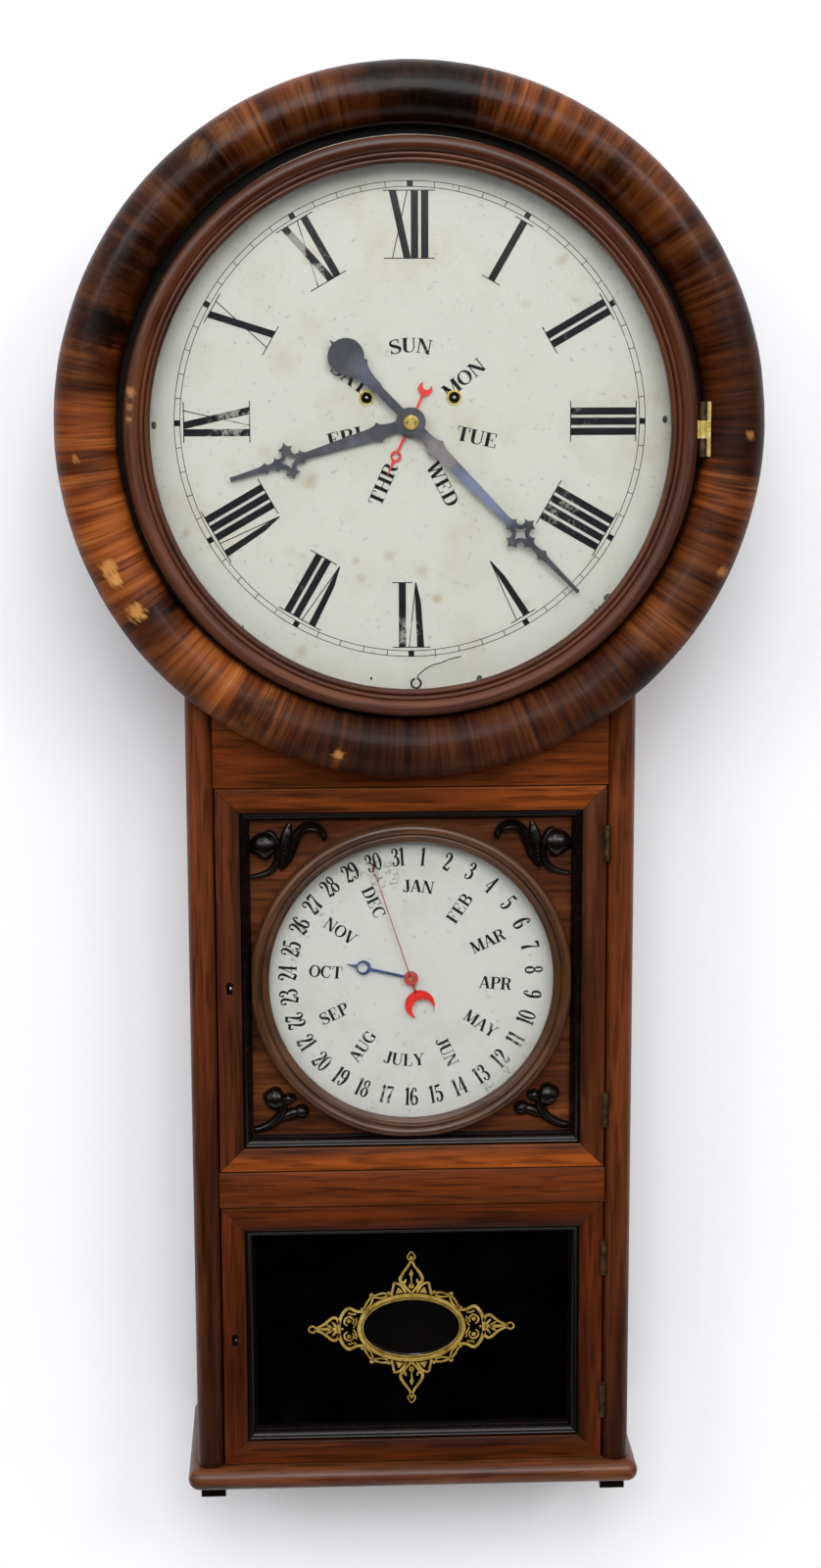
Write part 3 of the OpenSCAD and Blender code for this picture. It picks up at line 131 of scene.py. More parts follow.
warm, cool = (1.0, 0.985, 0.96), (0.97, 0.98, 1.0)
lights = {"right": {"place": (1.75, -3.1, 1.25), "aim": (0.0, -0.1, -0.4), "size": 0.9, "power": 27},
          "left": {"place": (-2.0, -2.9, 1.15), "aim": (0.0, -0.1, -0.4), "size": 1.0, "power": 23},
          "high": {"place": (0.1, -1.6, 1.9), "aim": (0.0, 0.0, -0.3), "size": 1.3, "power": 8},
          "front": {"place": (-0.1, -3.2, 1.5), "aim": (0.0, 0.0, -0.5), "size": 2.0, "power": 82},
          "rear": {"place": (0.9, 2.6, 1.1), "aim": (0.0, 0.0, -0.5), "size": 1.5, "power": 60}}
for name, lamp in lights.items():
    data = bpy.data.lights.new(name, "AREA")
    data.size, data.energy = lamp["size"], lamp["power"]
    data.color = warm if name == "right" else cool
    obj = bpy.data.objects.new(name, data)
    scene.collection.objects.link(obj)
    obj.location = lamp["place"]
    obj.rotation_euler = (Vector(lamp["aim"]) - obj.location).to_track_quat("-Z", "Y").to_euler()
world = bpy.data.worlds.new("studio")  # a pale ceiling over a dim room
scene.world = world
world.use_nodes = True
tree = world.node_tree
rise = put(tree, "SeparateXYZ", put(tree, "TexCoord").outputs["Generated"])
sky = put(tree, "ValToRGB", rise.outputs[2], stops=[(0.0, 0.02), (0.06, 0.6), (0.5, 1.0)])
straight = put(tree, "LightPath").outputs["Is Camera Ray"]
seen = put(tree, "Blend MIX", straight, sky, "#d4d4d6")  # pale beyond the wall
feed(tree, tree.nodes["Background"], {"Color": seen, "Strength": 1.2})

stage = {"wallY": 0.0006, "wallTop": 2.0, "floor": -1.75, "floorFront": -1.2, "reach": 2.4, "opening": 0.004}
wallPaint, tree, bsdf = newFinish("wallPaint")  # plain emulsion, seen from the front only
feed(tree, bsdf, {"Base Color": "#e5e5e8", "Roughness": 0.9})
back = put(tree, "NewGeometry").outputs["Backfacing"]
oneSided = put(tree, "MixShader", back, bsdf, put(tree, "BsdfTransparent"))
feed(tree, tree.nodes["Material Output"], {"Surface": oneSided})
floorPaint, tree, bsdf = newFinish("floorPaint")  # grey and plain
feed(tree, bsdf, {"Base Color": "#c6c6c4", "Roughness": 0.8})
reach, wallY, top = stage["reach"], stage["wallY"], stage["wallTop"]
floorZ, front, spare = stage["floor"], stage["floorFront"], stage["opening"]
lo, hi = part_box("left_side")
# the wall is open behind the case, so that its back is lit
x0, x1, z0, z1 = lo.x + spare, -lo.x - spare, lo.z + spare, hi.z - spare
wallPoints = [(-reach, wallY, floorZ), (reach, wallY, floorZ), (reach, wallY, top), (-reach, wallY, top),
              (x0, wallY, z0), (x1, wallY, z0), (x1, wallY, z1), (x0, wallY, z1)]
wallFaces = [(k, (k + 1) % 4, 4 + (k + 1) % 4, 4 + k) for k in range(4)]
floorPoints = [(-reach, front, floorZ), (reach, front, floorZ), (reach, reach, floorZ), (-reach, reach, floorZ)]
for name, points, faces, finish in (("wall", wallPoints, wallFaces, wallPaint),
                                    ("floor", floorPoints, [(0, 1, 2, 3)], floorPaint)):
    mesh = meshOf(name, points, faces)
    mesh.materials.append(finish)
    obj = bpy.data.objects.new(name, mesh)
    scene.collection.objects.link(obj)
print("stage set")


def patch(tree, flat, x, z, size, edges, levels, ragged=None, jag=1.0):  # one level at a place, another round it
    gap = put(tree, "Vector DISTANCE", flat, at(x, 0, z))
    if ragged:
        gap = put(tree, "Math MULTIPLY_ADD", ragged, jag * size * mm, gap)
    return put(tree, "MapRange", gap, edges[0] * size * mm, edges[1] * size * mm, levels[0], levels[1])


def woodFinish(name, way, tones, gloss, streak=(9, 160), fibre=(2.2, 40), centre=0.0, shift=0.0, shine=0.12,
               blotch=0.72, contrast=0.95, ripple=0.0, flitches=(), fade=(), sight=(), dull=(), crazed=()):
    # gloss is the least and most roughness, the coat and its roughness; streak and fibre are the width and length of
    # the figure in mm; pores are drawn about twice too coarse to show
    finish, tree, bsdf = newFinish(name)
    coords = put(tree, "TexCoord").outputs["Object"]
    moved = put(tree, "Vector SUBTRACT", coords, at(shift, shift, centre))
    parts = put(tree, "SeparateXYZ", moved)
    if way in ("radial", "round"):
        flat = put(tree, "CombineXYZ", {0: parts.outputs[0], 2: parts.outputs[2]})
        radius = put(tree, "Vector LENGTH", flat)
        turn = put(tree, "Vector NORMALIZE", flat)
        deep = put(tree, "Math ADD", radius, parts.outputs[1])
        level = put(tree, "CombineXYZ", {1: radius if way == "radial" else deep})
        body = put(tree, "Vector MULTIPLY_ADD", turn, (0.2,) * 3, level)
    else:
        body = moved
    patterns = []
    for width, length, detail in ((*streak, 3.0), (*fibre, 2.0), (fibre[0] * 0.6, fibre[1] * 0.5, 1.0)):
        across, along = 1 / (width * mm), 1 / (length * mm)
        scale = {"x": (along, across, across), "z": (across, across, along), "y": (across, along, across),
                 "radial": (across, along, across), "round": (along, across, along)}[way]
        spread = put(tree, "Vector MULTIPLY", body, scale)
        patterns.append(put(tree, "TexNoise", {"Vector": spread, "Scale": 0.5, "Detail": detail, "Distortion": 0.35}))
    figure, hairs, pores = patterns
    blendUp = put(tree, "Mix", 0.42, figure, hairs)
    blendUp = put(tree, "Math MULTIPLY_ADD", blendUp, contrast, 0.5 - 0.5 * contrast)
    colour = put(tree, "ValToRGB", blendUp, stops=tones)
    dark = put(tree, "ValToRGB", pores, stops=[(0.34, 0.42), (0.48, 1.0)])
    colour = put(tree, "Blend MULTIPLY", 0.8, colour, dark)
    cloud = put(tree, "TexNoise", {"Vector": coords, "Scale": 11.0, "Detail": 3.0})
    layers = [put(tree, "ValToRGB", cloud, stops=[(0.32, blotch), (0.62, 1.0)])]  # each darkens what is under it
    if flitches:  # leaves of veneer laid round the ring, their tone by turn from the bottom, clockwise
        clock = put(tree, "Math ARCTAN2", parts.outputs[0], parts.outputs[2])
        clock = put(tree, "Math MULTIPLY_ADD", clock, 0.5 / math.pi, 0.46)
        jag = put(tree, "Math MULTIPLY_ADD", hairs, 0.03, clock)
        jag = put(tree, "Math MULTIPLY_ADD", cloud, 0.05, jag)
        layers.append(put(tree, "ValToRGB", jag, stops=flitches))
    if crazed:  # polish gone black and crazed in ragged places: x, z, size in mm and what is left of the colour
        torn = put(tree, "TexNoise", {"Vector": coords, "Scale": 70.0, "Detail": 6.0, "Roughness": 0.75})
        plan = put(tree, "Vector MULTIPLY", coords, (1, 0, 1))
    for x, z, size, left in crazed:
        layers.append(patch(tree, plan, x, z, size, (1.5, 2.2), (left, 1.0), torn, 2.4))
    if sight:  # painted shade: darker along the sight edge of a door frame, where the frame meets its opening
        axes = put(tree, "SeparateXYZ", coords)
        lift = put(tree, "Math SUBTRACT", axes.outputs[2], at(0, 0, sight[1]).z)
        gaps = [put(tree, "Math SUBTRACT", put(tree, "Math ABSOLUTE", value), half * mm)
                for value, half in ((axes.outputs[0], sight[0]), (lift, sight[2]))]
        away = put(tree, "Math MAXIMUM", gaps[0], gaps[1])
        away = put(tree, "Math MULTIPLY_ADD", hairs, 0.006, away)
        layers.append(put(tree, "MapRange", away, 0.001, 0.011, 0.22, 1.0))
    if fade:  # darker from one place to another, given as points; inside the case this is painted shade
        away = Vector(fade[1]) - Vector(fade[0])
        along = put(tree, "Vector SUBTRACT", coords, at(*fade[0]))
        along = put(tree, "Vector DOT_PRODUCT", along, (away.x, -away.y, away.z))
        layers.append(put(tree, "MapRange", along, 0.0, away.length_squared * mm, 1.0, fade[2]))
    for layer in layers:
        colour = put(tree, "Blend MULTIPLY", 1.0, colour, layer)
    worn = put(tree, "Attribute", attribute_name="worn").outputs["Fac"]
    bare = put(tree, "Blend MIX", worn, colour, "#b98147")
    rough = put(tree, "MapRange", {0: hairs, 3: gloss[0], 4: gloss[1]})
    if dull:  # the polish has gone from one height down to another, in mm from the centre
        tired = put(tree, "MapRange", parts.outputs[2], dull[1] * mm, dull[0] * mm, dull[2], 0.0)
        rough = put(tree, "Math ADD", rough, tired)
    relief = put(tree, "Bump", {"Strength": 0.35, "Distance": 0.00025, "Height": blendUp})
    if ripple:  # the polished face waves a little, so its highlights break up
        wave = put(tree, "TexNoise", {"Vector": coords, "Scale": 55.0, "Detail": 3.0})
        relief = put(tree, "Bump", {"Strength": 1.0, "Distance": ripple * mm, "Height": wave, "Normal": relief})
        feed(tree, bsdf, {"Coat Normal": relief})
    feed(tree, bsdf, {"Base Color": bare, "Roughness": rough, "Normal": relief, "Specular IOR Level": shine,
                      "Coat Weight": gloss[2], "Coat Roughness": gloss[3]})
    return finish


def plainFinish(name, tones, grain, rough, metallic=0.0, bump=0.1, coat=0.0, shine=0.5, bright=()):
    # a paint, metal or leaf: tones over clouds of the given grain in mm
    finish, tree, bsdf = newFinish(name)
    coords = put(tree, "TexCoord").outputs["Object"]
    cloud = put(tree, "TexNoise", {"Vector": coords, "Scale": 1 / (grain * mm), "Detail": 6.0, "Roughness": 0.62})
    tone = put(tree, "ValToRGB", cloud, stops=tones)
    flat = put(tree, "Vector MULTIPLY", coords, (1, 0, 1))
    for x, z, size, wearAndSheen in bright:  # painted sheen: places drawn brighter, x, z, size in mm and tone
        near = patch(tree, flat, x, z, size, (1.0, 1.7), (0.85, 0.0), cloud)
        tone = put(tree, "Blend MIX", near, tone, wearAndSheen)
    fine = put(tree, "TexNoise", {"Vector": coords, "Scale": 5 / (grain * mm), "Detail": 4.0})
    gloss = put(tree, "MapRange", fine, 0.3, 0.7, rough[0], rough[1])
    relief = put(tree, "Bump", {"Strength": bump, "Distance": 0.0002, "Height": fine})
    feed(tree, bsdf, {"Base Color": tone, "Roughness": gloss, "Normal": relief, "Metallic": metallic,
                      "Specular IOR Level": shine, "Coat Weight": coat, "Coat Roughness": 0.12})
    return finish


# rosewood veneer laid radially and french polished: fine streaks across the ring, leaves of differing tone
ringVeneer = woodFinish("rosewoodVeneerRadial", "radial",
                        [(0.33, "#260f05"), (0.45, "#733512"), (0.56, "#99501f"), (0.7, "#bd763a")],
                        (0.22, 0.42, 0.06, 0.2), streak=(6.5, 60), fibre=(1.6, 50), centre=-2.5, shine=0.1, blotch=0.3,
                        contrast=0.9, ripple=0.7, dull=(120, -200, 0.35),
                        crazed=[(-209, 65, 26, 0.15), (-191, 112, 20, 0.25), (-130, 170, 16, 0.35), (25, 217, 34, 0.15),
                                (-24, 228, 16, 0.2), (136, 165, 22, 0.35), (222, 59, 30, 0.4), (-108, -197, 20, 0.3),
                                (163, -172, 24, 0.35)],
                        flitches=[(0.0, 0.15), (0.03, 0.2), (0.05, 0.7), (0.09, 0.85), (0.13, 0.8), (0.15, 0.5),
                                  (0.17, 0.9), (0.21, 0.8), (0.25, 0.85), (0.28, 0.26), (0.3, 0.4), (0.33, 0.1),
                                  (0.37, 0.22), (0.4, 0.11), (0.42, 0.36), (0.46, 0.42), (0.49, 0.08), (0.53, 0.1),
                                  (0.56, 0.6), (0.6, 0.36), (0.64, 0.46), (0.67, 0.16), (0.73, 0.22), (0.77, 0.14),
                                  (0.785, 0.85), (0.81, 0.7), (0.83, 0.36), (0.86, 0.6), (0.89, 0.24), (0.92, 0.14),
                                  (0.95, 0.36), (1.0, 0.15)])
# turned mahogany, stained red brown: grain follows the turning
bezelWood = woodFinish("mahoganyTurned", "round", [(0.3, "#220e07"), (0.48, "#452110"), (0.7, "#69371e")],
                       (0.25, 0.42, 0.04, 0.16), streak=(5, 220), fibre=(1.4, 60), centre=-5.0, shine=0.25,
                       dull=(60, -190, 0.3))
calendarWood = woodFinish("mahoganyTurnedSmall", "round", [(0.3, "#241409"), (0.5, "#482b17"), (0.7, "#663f25")],
                          (0.28, 0.45, 0.2, 0.18), streak=(4, 180), fibre=(1.3, 50), centre=calendarZ, shine=0.25)
# walnut veneer on the trunk, polished and dulled with age: streaks along each board
sideVeneer = woodFinish("walnutVeneerSides", "z",
                        [(0.28, "#2e1206"), (0.45, "#55270f"), (0.58, "#683214"), (0.74, "#86441f")],
                        (0.3, 0.5, 0.1, 0.2), shift=31.0, fade=((0, 0, -420), (0, 0, -760), 0.2))
# door frames: half width, centre and half height of the sight opening, along which painted shade darkens them
upperSight, lowerSight = (121.5, -395.5, 123.0), (121.5, tabletZ, 81.0)
stileVeneer = woodFinish("walnutVeneerUpright", "z",
                         [(0.28, "#230f05"), (0.45, "#3f1c0b"), (0.58, "#4f250f"), (0.74, "#663317")],
                         (0.3, 0.5, 0.06, 0.2), sight=upperSight)
railVeneer = woodFinish("walnutVeneerAcross", "x",
                        [(0.28, "#461d07"), (0.45, "#783910"), (0.58, "#934817"), (0.74, "#b05b20")],
                        (0.3, 0.5, 0.06, 0.2), shift=13.0, sight=upperSight)
# the panel's wider, darker figure; then the lower door, in one dark tone; the header, brightest; the base, dull
panelVeneer = woodFinish("rosewoodVeneerPanel", "x",
                         [(0.3, "#1f0e06"), (0.45, "#452210"), (0.58, "#5e3017"), (0.72, "#804621")],
                         (0.3, 0.5, 0.1, 0.2), streak=(12, 120), shift=57.0)
lowTones = [(0.28, "#240b03"), (0.45, "#461b06"), (0.58, "#5a2508"), (0.74, "#78370f")]
lowStileVeneer = woodFinish("walnutVeneerLowUpright", "z", lowTones, (0.3, 0.5, 0.04, 0.2), shift=83.0,
                            sight=lowerSight)
lowRailVeneer = woodFinish("walnutVeneerLowAcross", "x", lowTones, (0.3, 0.5, 0.04, 0.2), shift=97.0, sight=lowerSight)
headerVeneer = woodFinish("walnutVeneerHeader", "x",
                          [(0.28, "#2c1104"), (0.45, "#5a2709"), (0.58, "#70340f"), (0.74, "#8e4817")],
                          (0.3, 0.5, 0.06, 0.2), streak=(11, 140), shift=41.0, contrast=0.85)
baseVeneer = woodFinish("walnutVeneerBase", "x",
                        [(0.28, "#2a140b"), (0.45, "#492514"), (0.58, "#5b301a"), (0.74, "#754124")],
                        (0.28, 0.5, 0.2, 0.2), streak=(8, 140), shift=71.0)
# bare pine, pale and dry; pine with painted shade, nearly black on its face toward the inside of the case; pine painted
# nearly black as shade where it closes the head
pine = woodFinish("pineUnfinished", "z", [(0.3, "#8a6239"), (0.5, "#a98354"), (0.7, "#c3a070")],
                  (0.55, 0.75, 0.0, 0.3), streak=(14, 300), fibre=(2.2, 60))
paintedShadeInsidePine = woodFinish("pineInsidePaintedShade", "z", [(0.3, "#5a4022"), (0.5, "#7a5a34"), (0.7, "#94744a")],
                      (0.55, 0.75, 0.0, 0.3), streak=(14, 300), fibre=(2.2, 60), shift=19.0,
                      fade=((0, 0.2, 0), (0, 1.0, 0), 0.03))
paintedShadeHeadPine = woodFinish("pinePaintedShadeHead", "x", [(0.3, "#0a0604"), (0.5, "#130c08"), (0.7, "#1e150e")],
                      (0.5, 0.7, 0.0, 0.3), streak=(14, 300), fibre=(2.2, 60))
# ebonised moulding and carving: black polish with brown showing through, softly shining
ebony = plainFinish("ebonisedWood", [(0.3, "#040202"), (0.6, "#0c0605"), (0.8, "#21120c")], 6, (0.16, 0.3),
                    bump=0.3, coat=0.15, shine=0.15)
# brass gone warm and uneven, brass rubbed bright, and the dark brass of the door hinges
brass = plainFinish("brassLacquered", [(0.3, "#9a7a3e"), (0.5, "#c6a45c"), (0.72, "#e0c488")], 9, (0.22, 0.42),
                    metallic=0.75, bump=0.12)
brightBrass = plainFinish("brassPolished", [(0.3, "#a08a3c"), (0.5, "#c9b35c"), (0.72, "#e4d692")], 7, (0.2, 0.35),
                          metallic=0.45, bump=0.1)
dullBrass = plainFinish("brassTarnished", [(0.3, "#221910"), (0.5, "#3c2e1b"), (0.72, "#5f4d32")], 5, (0.35, 0.6),
                        metallic=0.7, bump=0.2)
# steel rusted to a dull brown green; near-black painted shade for the keyholes and the sunk ends of the winding arbors;
# ground steel, grey and bright
darkSteel = plainFinish("steelRusted", [(0.3, "#1d211c"), (0.5, "#34382f"), (0.7, "#4e4a3c")], 3, (0.45, 0.7),
                        metallic=0.4, bump=0.3)
paintedHoleShade = plainFinish("holePaintedShade", [(0.3, "#020101"), (0.6, "#060403"), (0.8, "#0c0806")], 3, (0.7, 0.9), bump=0.2,
                       shine=0.05)
steel = plainFinish("steelGround", [(0.3, "#77787a"), (0.5, "#9c9da0"), (0.7, "#bcbdc0")], 4, (0.28, 0.5),
                    metallic=1.0, bump=0.15)
# heat-blued steel, worn to grey brown with patches of sky blue, and a painted sheen on the minute hand's shaft and near
# its hub; the month hand has kept its blue
bluedSteel = plainFinish("steelBlued", [(0.3, "#2b2e35"), (0.46, "#3a3d44"), (0.56, "#47464c"), (0.74, "#505a72")], 22,
                         (0.3, 0.5), metallic=0.3, bump=0.12,
                         bright=[(48, -50, 27, "#737d97"), (20, -21, 15, "#7f787a")])
monthSteel = plainFinish("steelBluedBright", [(0.3, "#2c3650"), (0.5, "#465a86"), (0.7, "#6f86b4")], 14, (0.3, 0.5),
                         metallic=0.3, bump=0.12)
# red lacquer, chalky on the pointer and glossy on the crescents
fadedRed = plainFinish("redLacquerFaded", [(0.3, "#7e2a26"), (0.5, "#a43330"), (0.7, "#c04a44")], 5, (0.4, 0.6),
                       bump=0.15)
redPaint = plainFinish("redLacquer", [(0.3, "#ac1b16"), (0.55, "#d0261d"), (0.75, "#e43e2d")], 6, (0.3, 0.45),
                       bump=0.1, coat=0.3)
# gold leaf laid behind glass: broken tone, rubbed thin in places
gilt = plainFinish("goldLeaf", [(0.28, "#6b5118"), (0.45, "#aa8c3c"), (0.6, "#c2a655"), (0.78, "#dcc684")], 7,
                   (0.35, 0.55), metallic=0.55, bump=0.3, coat=0.5)
# glass painted black behind: deep and still
blackGlass = plainFinish("blackGlassPolished", [(0.3, "#000000"), (0.6, "#020202"), (0.8, "#060606")], 40,
                         (0.08, 0.16), bump=0.02, shine=0.05)
inkFinish, tree, bsdf = newFinish("printersInkWorn")  # navy black print, rubbed away in streaks
coords = put(tree, "TexCoord").outputs["Object"]
rub = put(tree, "TexNoise", {"Vector": coords, "Scale": 210.0, "Detail": 5.0, "Roughness": 0.7})
zone = put(tree, "TexNoise", {"Vector": coords, "Scale": 14.0, "Detail": 1.0})
both = put(tree, "Math MULTIPLY", rub, zone)
flat = put(tree, "Vector MULTIPLY", coords, (1, 0, 1))
rubbedPlaces = [(-79, 117, 9, 0.3), (-66, 99, 8, 0.22), (-120, 61, 16, 0.13), (-76, -125, 18, 0.13),
                (-6, -144, 14, 0.14), (-128, 6, 14, 0.1)]  # numerals most rubbed: x, z, size in mm and how far
for x, z, size, much in rubbedPlaces:
    both = put(tree, "Math ADD", both, patch(tree, flat, x, z, size, (0.6, 1.3), (much, 0.0)))
tone = put(tree, "ValToRGB", both, stops=[(0.0, "#0d0e13"), (0.36, "#15161c"), (0.43, "#85857e")])
shine = put(tree, "MapRange", {0: rub, 3: 0.5, 4: 0.75})
feed(tree, bsdf, {"Base Color": tone, "Roughness": shine, "Specular IOR Level": 0.12})


def dialFinish(name, base, shade, centre, reachMm, stains, specks):
    # enamel paint on zinc: off white, freckled, tan stains and dark specks in places; painted shade makes it greyer
    # toward the edge
    finish, tree, bsdf = newFinish(name)
    coords = put(tree, "TexCoord").outputs["Object"]
    stain = put(tree, "TexNoise", {"Vector": coords, "Scale": 16.0, "Detail": 6.0, "Roughness": 0.65})
    tone = put(tree, "ValToRGB", stain, stops=[(0.3, shade), (0.5, base), (0.75, base)])
    freckle = put(tree, "TexNoise", {"Vector": coords, "Scale": 330.0, "Detail": 2.0})
    spots = put(tree, "ValToRGB", freckle, stops=[(0.27, 0.55), (0.33, 1.0)])
    colour = put(tree, "Blend MULTIPLY", 0.6, tone, spots)
    flat = put(tree, "Vector MULTIPLY", coords, (1, 0, 1))
    ragged = put(tree, "TexNoise", {"Vector": coords, "Scale": 150.0, "Detail": 4.0})
    fleck = put(tree, "TexNoise", {"Vector": coords, "Scale": 420.0, "Detail": 3.0})
    fleck = put(tree, "ValToRGB", fleck, stops=[(0.54, 0.0), (0.6, 1.0)])
    for places, ink in ((stains, "#94794f"), (specks, "#4c4c4c")):
        for x, z, size, amount in places:
            mask = patch(tree, flat, x, z, size, (0.7, 1.5), (amount, 0.0), ragged)
            if places is specks:
                mask = put(tree, "Math MULTIPLY", mask, fleck)
            colour = put(tree, "Blend MIX", mask, colour, ink)
    # painted shade: the outer fifth of the dial's radius darkens by up to a tenth, toward the bezel
    moved = put(tree, "Vector SUBTRACT", flat, at(0, 0, centre))
    radius = put(tree, "Vector LENGTH", moved)
    rim = put(tree, "MapRange", radius, reachMm * 0.8 * mm, reachMm * mm, 1.0, 0.9)
    colour = put(tree, "Blend MULTIPLY", 1.0, colour, rim)
    shine = put(tree, "MapRange", {0: stain, 3: 0.42, 4: 0.6})
    relief = put(tree, "Bump", {"Strength": 0.12, "Distance": 0.0002, "Height": freckle})
    feed(tree, bsdf, {"Base Color": colour, "Roughness": shine, "Normal": relief})
    return finish


# stains and specks as x, z, size in mm and strength
dialMarks = {"stains": [(-86, 42, 15, 0.22), (-69, -40, 7, 0.5), (-38, -95, 4, 0.4), (-15, -91, 5, 0.42),
                        (7, -102, 6, 0.35), (18, -121, 4.5, 0.5), (-76, -157, 6, 0.4), (104, 109, 6, 0.45),
                        (78, 79, 5, 0.3), (-155, -75, 4, 0.45), (-34, -107, 4, 0.3), (-66, 112, 9, 0.3),
                        (-100, -20, 8, 0.25), (80, -125, 5, 0.3)],
             "specks": [(-20, -323, 16, 0.8), (-30, -318, 9, 0.9), (-77, -362, 8, 0.7), (-84, -380, 7, 0.7),
                        (-66, -348, 6, 0.6), (72, -470, 8, 0.6), (57, -481, 7, 0.6), (86, -452, 7, 0.6),
                        (0, -498, 7, 0.4), (-30, -494, 7, 0.4)], "dots": [(2.7, -367.7, 0.9, 0.9)]}
timePaint = dialFinish("enamelPaintTimeDial", "#b8b9af", "#aeac9b", 0.0, 190, dialMarks["stains"], [])
calendarPaint = dialFinish("enamelPaintCalendar", "#bdbeb7", "#b2b2a8", calendarZ, 112, dialMarks["dots"],
                           dialMarks["specks"])
clearGlass, tree, bsdf = newFinish("windowGlass")  # old drawn glass: clear, a faint ripple
coords = put(tree, "TexCoord").outputs["Object"]
ripple = put(tree, "TexNoise", {"Vector": coords, "Scale": 22.0, "Detail": 1.0})
smear = put(tree, "MapRange", {0: ripple, 3: 0.0, 4: 0.03})
feed(tree, bsdf, {"Transmission Weight": 1.0, "IOR": 1.45, "Roughness": smear})
shadowRay = put(tree, "LightPath").outputs["Is Shadow Ray"]
pane = put(tree, "MixShader", shadowRay, bsdf, put(tree, "BsdfTransparent"))
feed(tree, tree.nodes["Material Output"], {"Surface": pane})
print("finishes mixed")


def settle(name, mesh, body, finish=None, replaced=(), sharp=35, merge=0.000001):  # a finished piece on its body
    work = bmesh.new()
    work.from_mesh(mesh)
    if merge:
        bmesh.ops.remove_doubles(work, verts=work.verts, dist=merge)
    bmesh.ops.recalc_face_normals(work, faces=work.faces)
    work.to_mesh(mesh)
    work.free()
    mesh.polygons.foreach_set("use_smooth", [True] * len(mesh.polygons))
    mesh.set_sharp_from_angle(angle=math.radians(sharp))
    if finish:
        mesh.materials.clear()
        mesh.materials.append(finish)
    obj = bpy.data.objects.new(name, mesh)
    scene.collection.objects.link(obj)
    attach(obj, body)
    if replaced:
        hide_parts(*replaced)
    return obj


def keep(mesh, label, values):  # a value for each point
    mesh.attributes.new(label, "FLOAT", "POINT").data.foreach_set("value", values)


def skinned(name, skins):  # each skin: sections of as many points each, and whether the last joins the first
    points, faces = [], []
    for sections, looped in skins:
        start, rows, cols = len(points), len(sections), len(sections[0])
        points += [point for section in sections for point in section]
        for i in range(rows if looped else rows - 1):
            a, b = start + i * cols, start + (i + 1) % rows * cols
            faces += [(a + k, a + (k + 1) % cols, b + (k + 1) % cols, b + k) for k in range(cols)]
        if not looped:
            faces += [range(start, start + cols), range(len(points) - 1, len(points) - 1 - cols, -1)]
    return meshOf(name, points, [tuple(face) for face in faces])


def geometryTree(name, inputs):
    tree = bpy.data.node_groups.new(name, "GeometryNodeTree")
    tree.interface.new_socket("Geometry", in_out="INPUT", socket_type="NodeSocketGeometry")
    for label, kind in inputs.items():
        tree.interface.new_socket(label, in_out="INPUT", socket_type="NodeSocket" + kind)
    tree.interface.new_socket("Geometry", in_out="OUTPUT", socket_type="NodeSocketGeometry")
    return tree, put(tree, "NodeGroupInput").outputs


def endTree(tree, shape, finish):  # real geometry with its finish
    shape = put(tree, "GeometryNodeRealizeInstances", shape)
    put(tree, "NodeGroupOutput", put(tree, "GeometryNodeSetMaterial", {0: shape, "Material": finish}))


def grown(name, tree, mesh, sizes):  # what a tree grows from a mesh, as a plain mesh
    holder = bpy.data.objects.new(name, mesh)
    scene.collection.objects.link(holder)
    modifier = holder.modifiers.new(name, "NODES")
    modifier.node_group = tree
    for item in tree.interface.items_tree:
        if item.in_out == "INPUT" and item.name in sizes:
            modifier[item.identifier] = sizes[item.name]
    graph = bpy.context.evaluated_depsgraph_get()
    result = bpy.data.meshes.new_from_object(holder.evaluated_get(graph), depsgraph=graph)
    bpy.data.objects.remove(holder)
    return result


# a closed profile of radius and forward points, turned about the axis of a dial
turnedTree, given = geometryTree("turnedPiece", {"Segments": "Int", "Centre": "Float", "Unevenness": "Float",
                                                 "Finish": "Material"})
profileCount = put(turnedTree, "GeometryNodeAttributeDomainSize", given["Geometry"]).outputs["Point Count"]
rows = put(turnedTree, "Math ADD", profileCount, 1.0)
rings = put(turnedTree, "Math ADD", given["Segments"], 1.0)
sheet = put(turnedTree, "GeometryNodeMeshGrid", {"Vertices X": rings, "Vertices Y": rows})
index = put(turnedTree, "GeometryNodeInputIndex")
row = put(turnedTree, "Math MODULO", index, rows)
row = put(turnedTree, "Math MODULO", row, profileCount)
share = put(turnedTree, "Math DIVIDE", index, rows)
share = put(turnedTree, "Math FLOOR", share)
angle = put(turnedTree, "Math DIVIDE", share, given["Segments"])
angle = put(turnedTree, "Math MULTIPLY", angle, 2 * math.pi)
place = put(turnedTree, "GeometryNodeInputPosition")
point = put(turnedTree, "GeometryNodeSampleIndex", {0: given["Geometry"], "Value": place, "Index": row},
            data_type="FLOAT_VECTOR")
radius = put(turnedTree, "SeparateXYZ", point)
sine = put(turnedTree, "Math SINE", angle)
cosine = put(turnedTree, "Math COSINE", angle)
toX = put(turnedTree, "Math MULTIPLY", radius.outputs[0], sine)
toZ = put(turnedTree, "Math MULTIPLY_ADD", radius.outputs[0], cosine, given["Centre"])
toY = put(turnedTree, "Math MULTIPLY", radius.outputs[1], -1.0)
spot = put(turnedTree, "CombineXYZ", toX, toY, toZ)
shell = put(turnedTree, "GeometryNodeSetPosition", {0: sheet, "Position": spot})
shell = put(turnedTree, "GeometryNodeMergeByDistance", {0: shell, "Distance": 1e-06})
lumps = put(turnedTree, "TexNoise", {"Vector": place, "Scale": 28.0, "Detail": 2.0})
lumps = put(turnedTree, "Math SUBTRACT", lumps, 0.5)
lumps = put(turnedTree, "Math MULTIPLY", lumps, given["Unevenness"])
push = put(turnedTree, "Vector SCALE", put(turnedTree, "GeometryNodeInputNormal"), lumps)
shell = put(turnedTree, "GeometryNodeSetPosition", {0: shell, "Offset": push})
endTree(turnedTree, shell, given["Finish"])


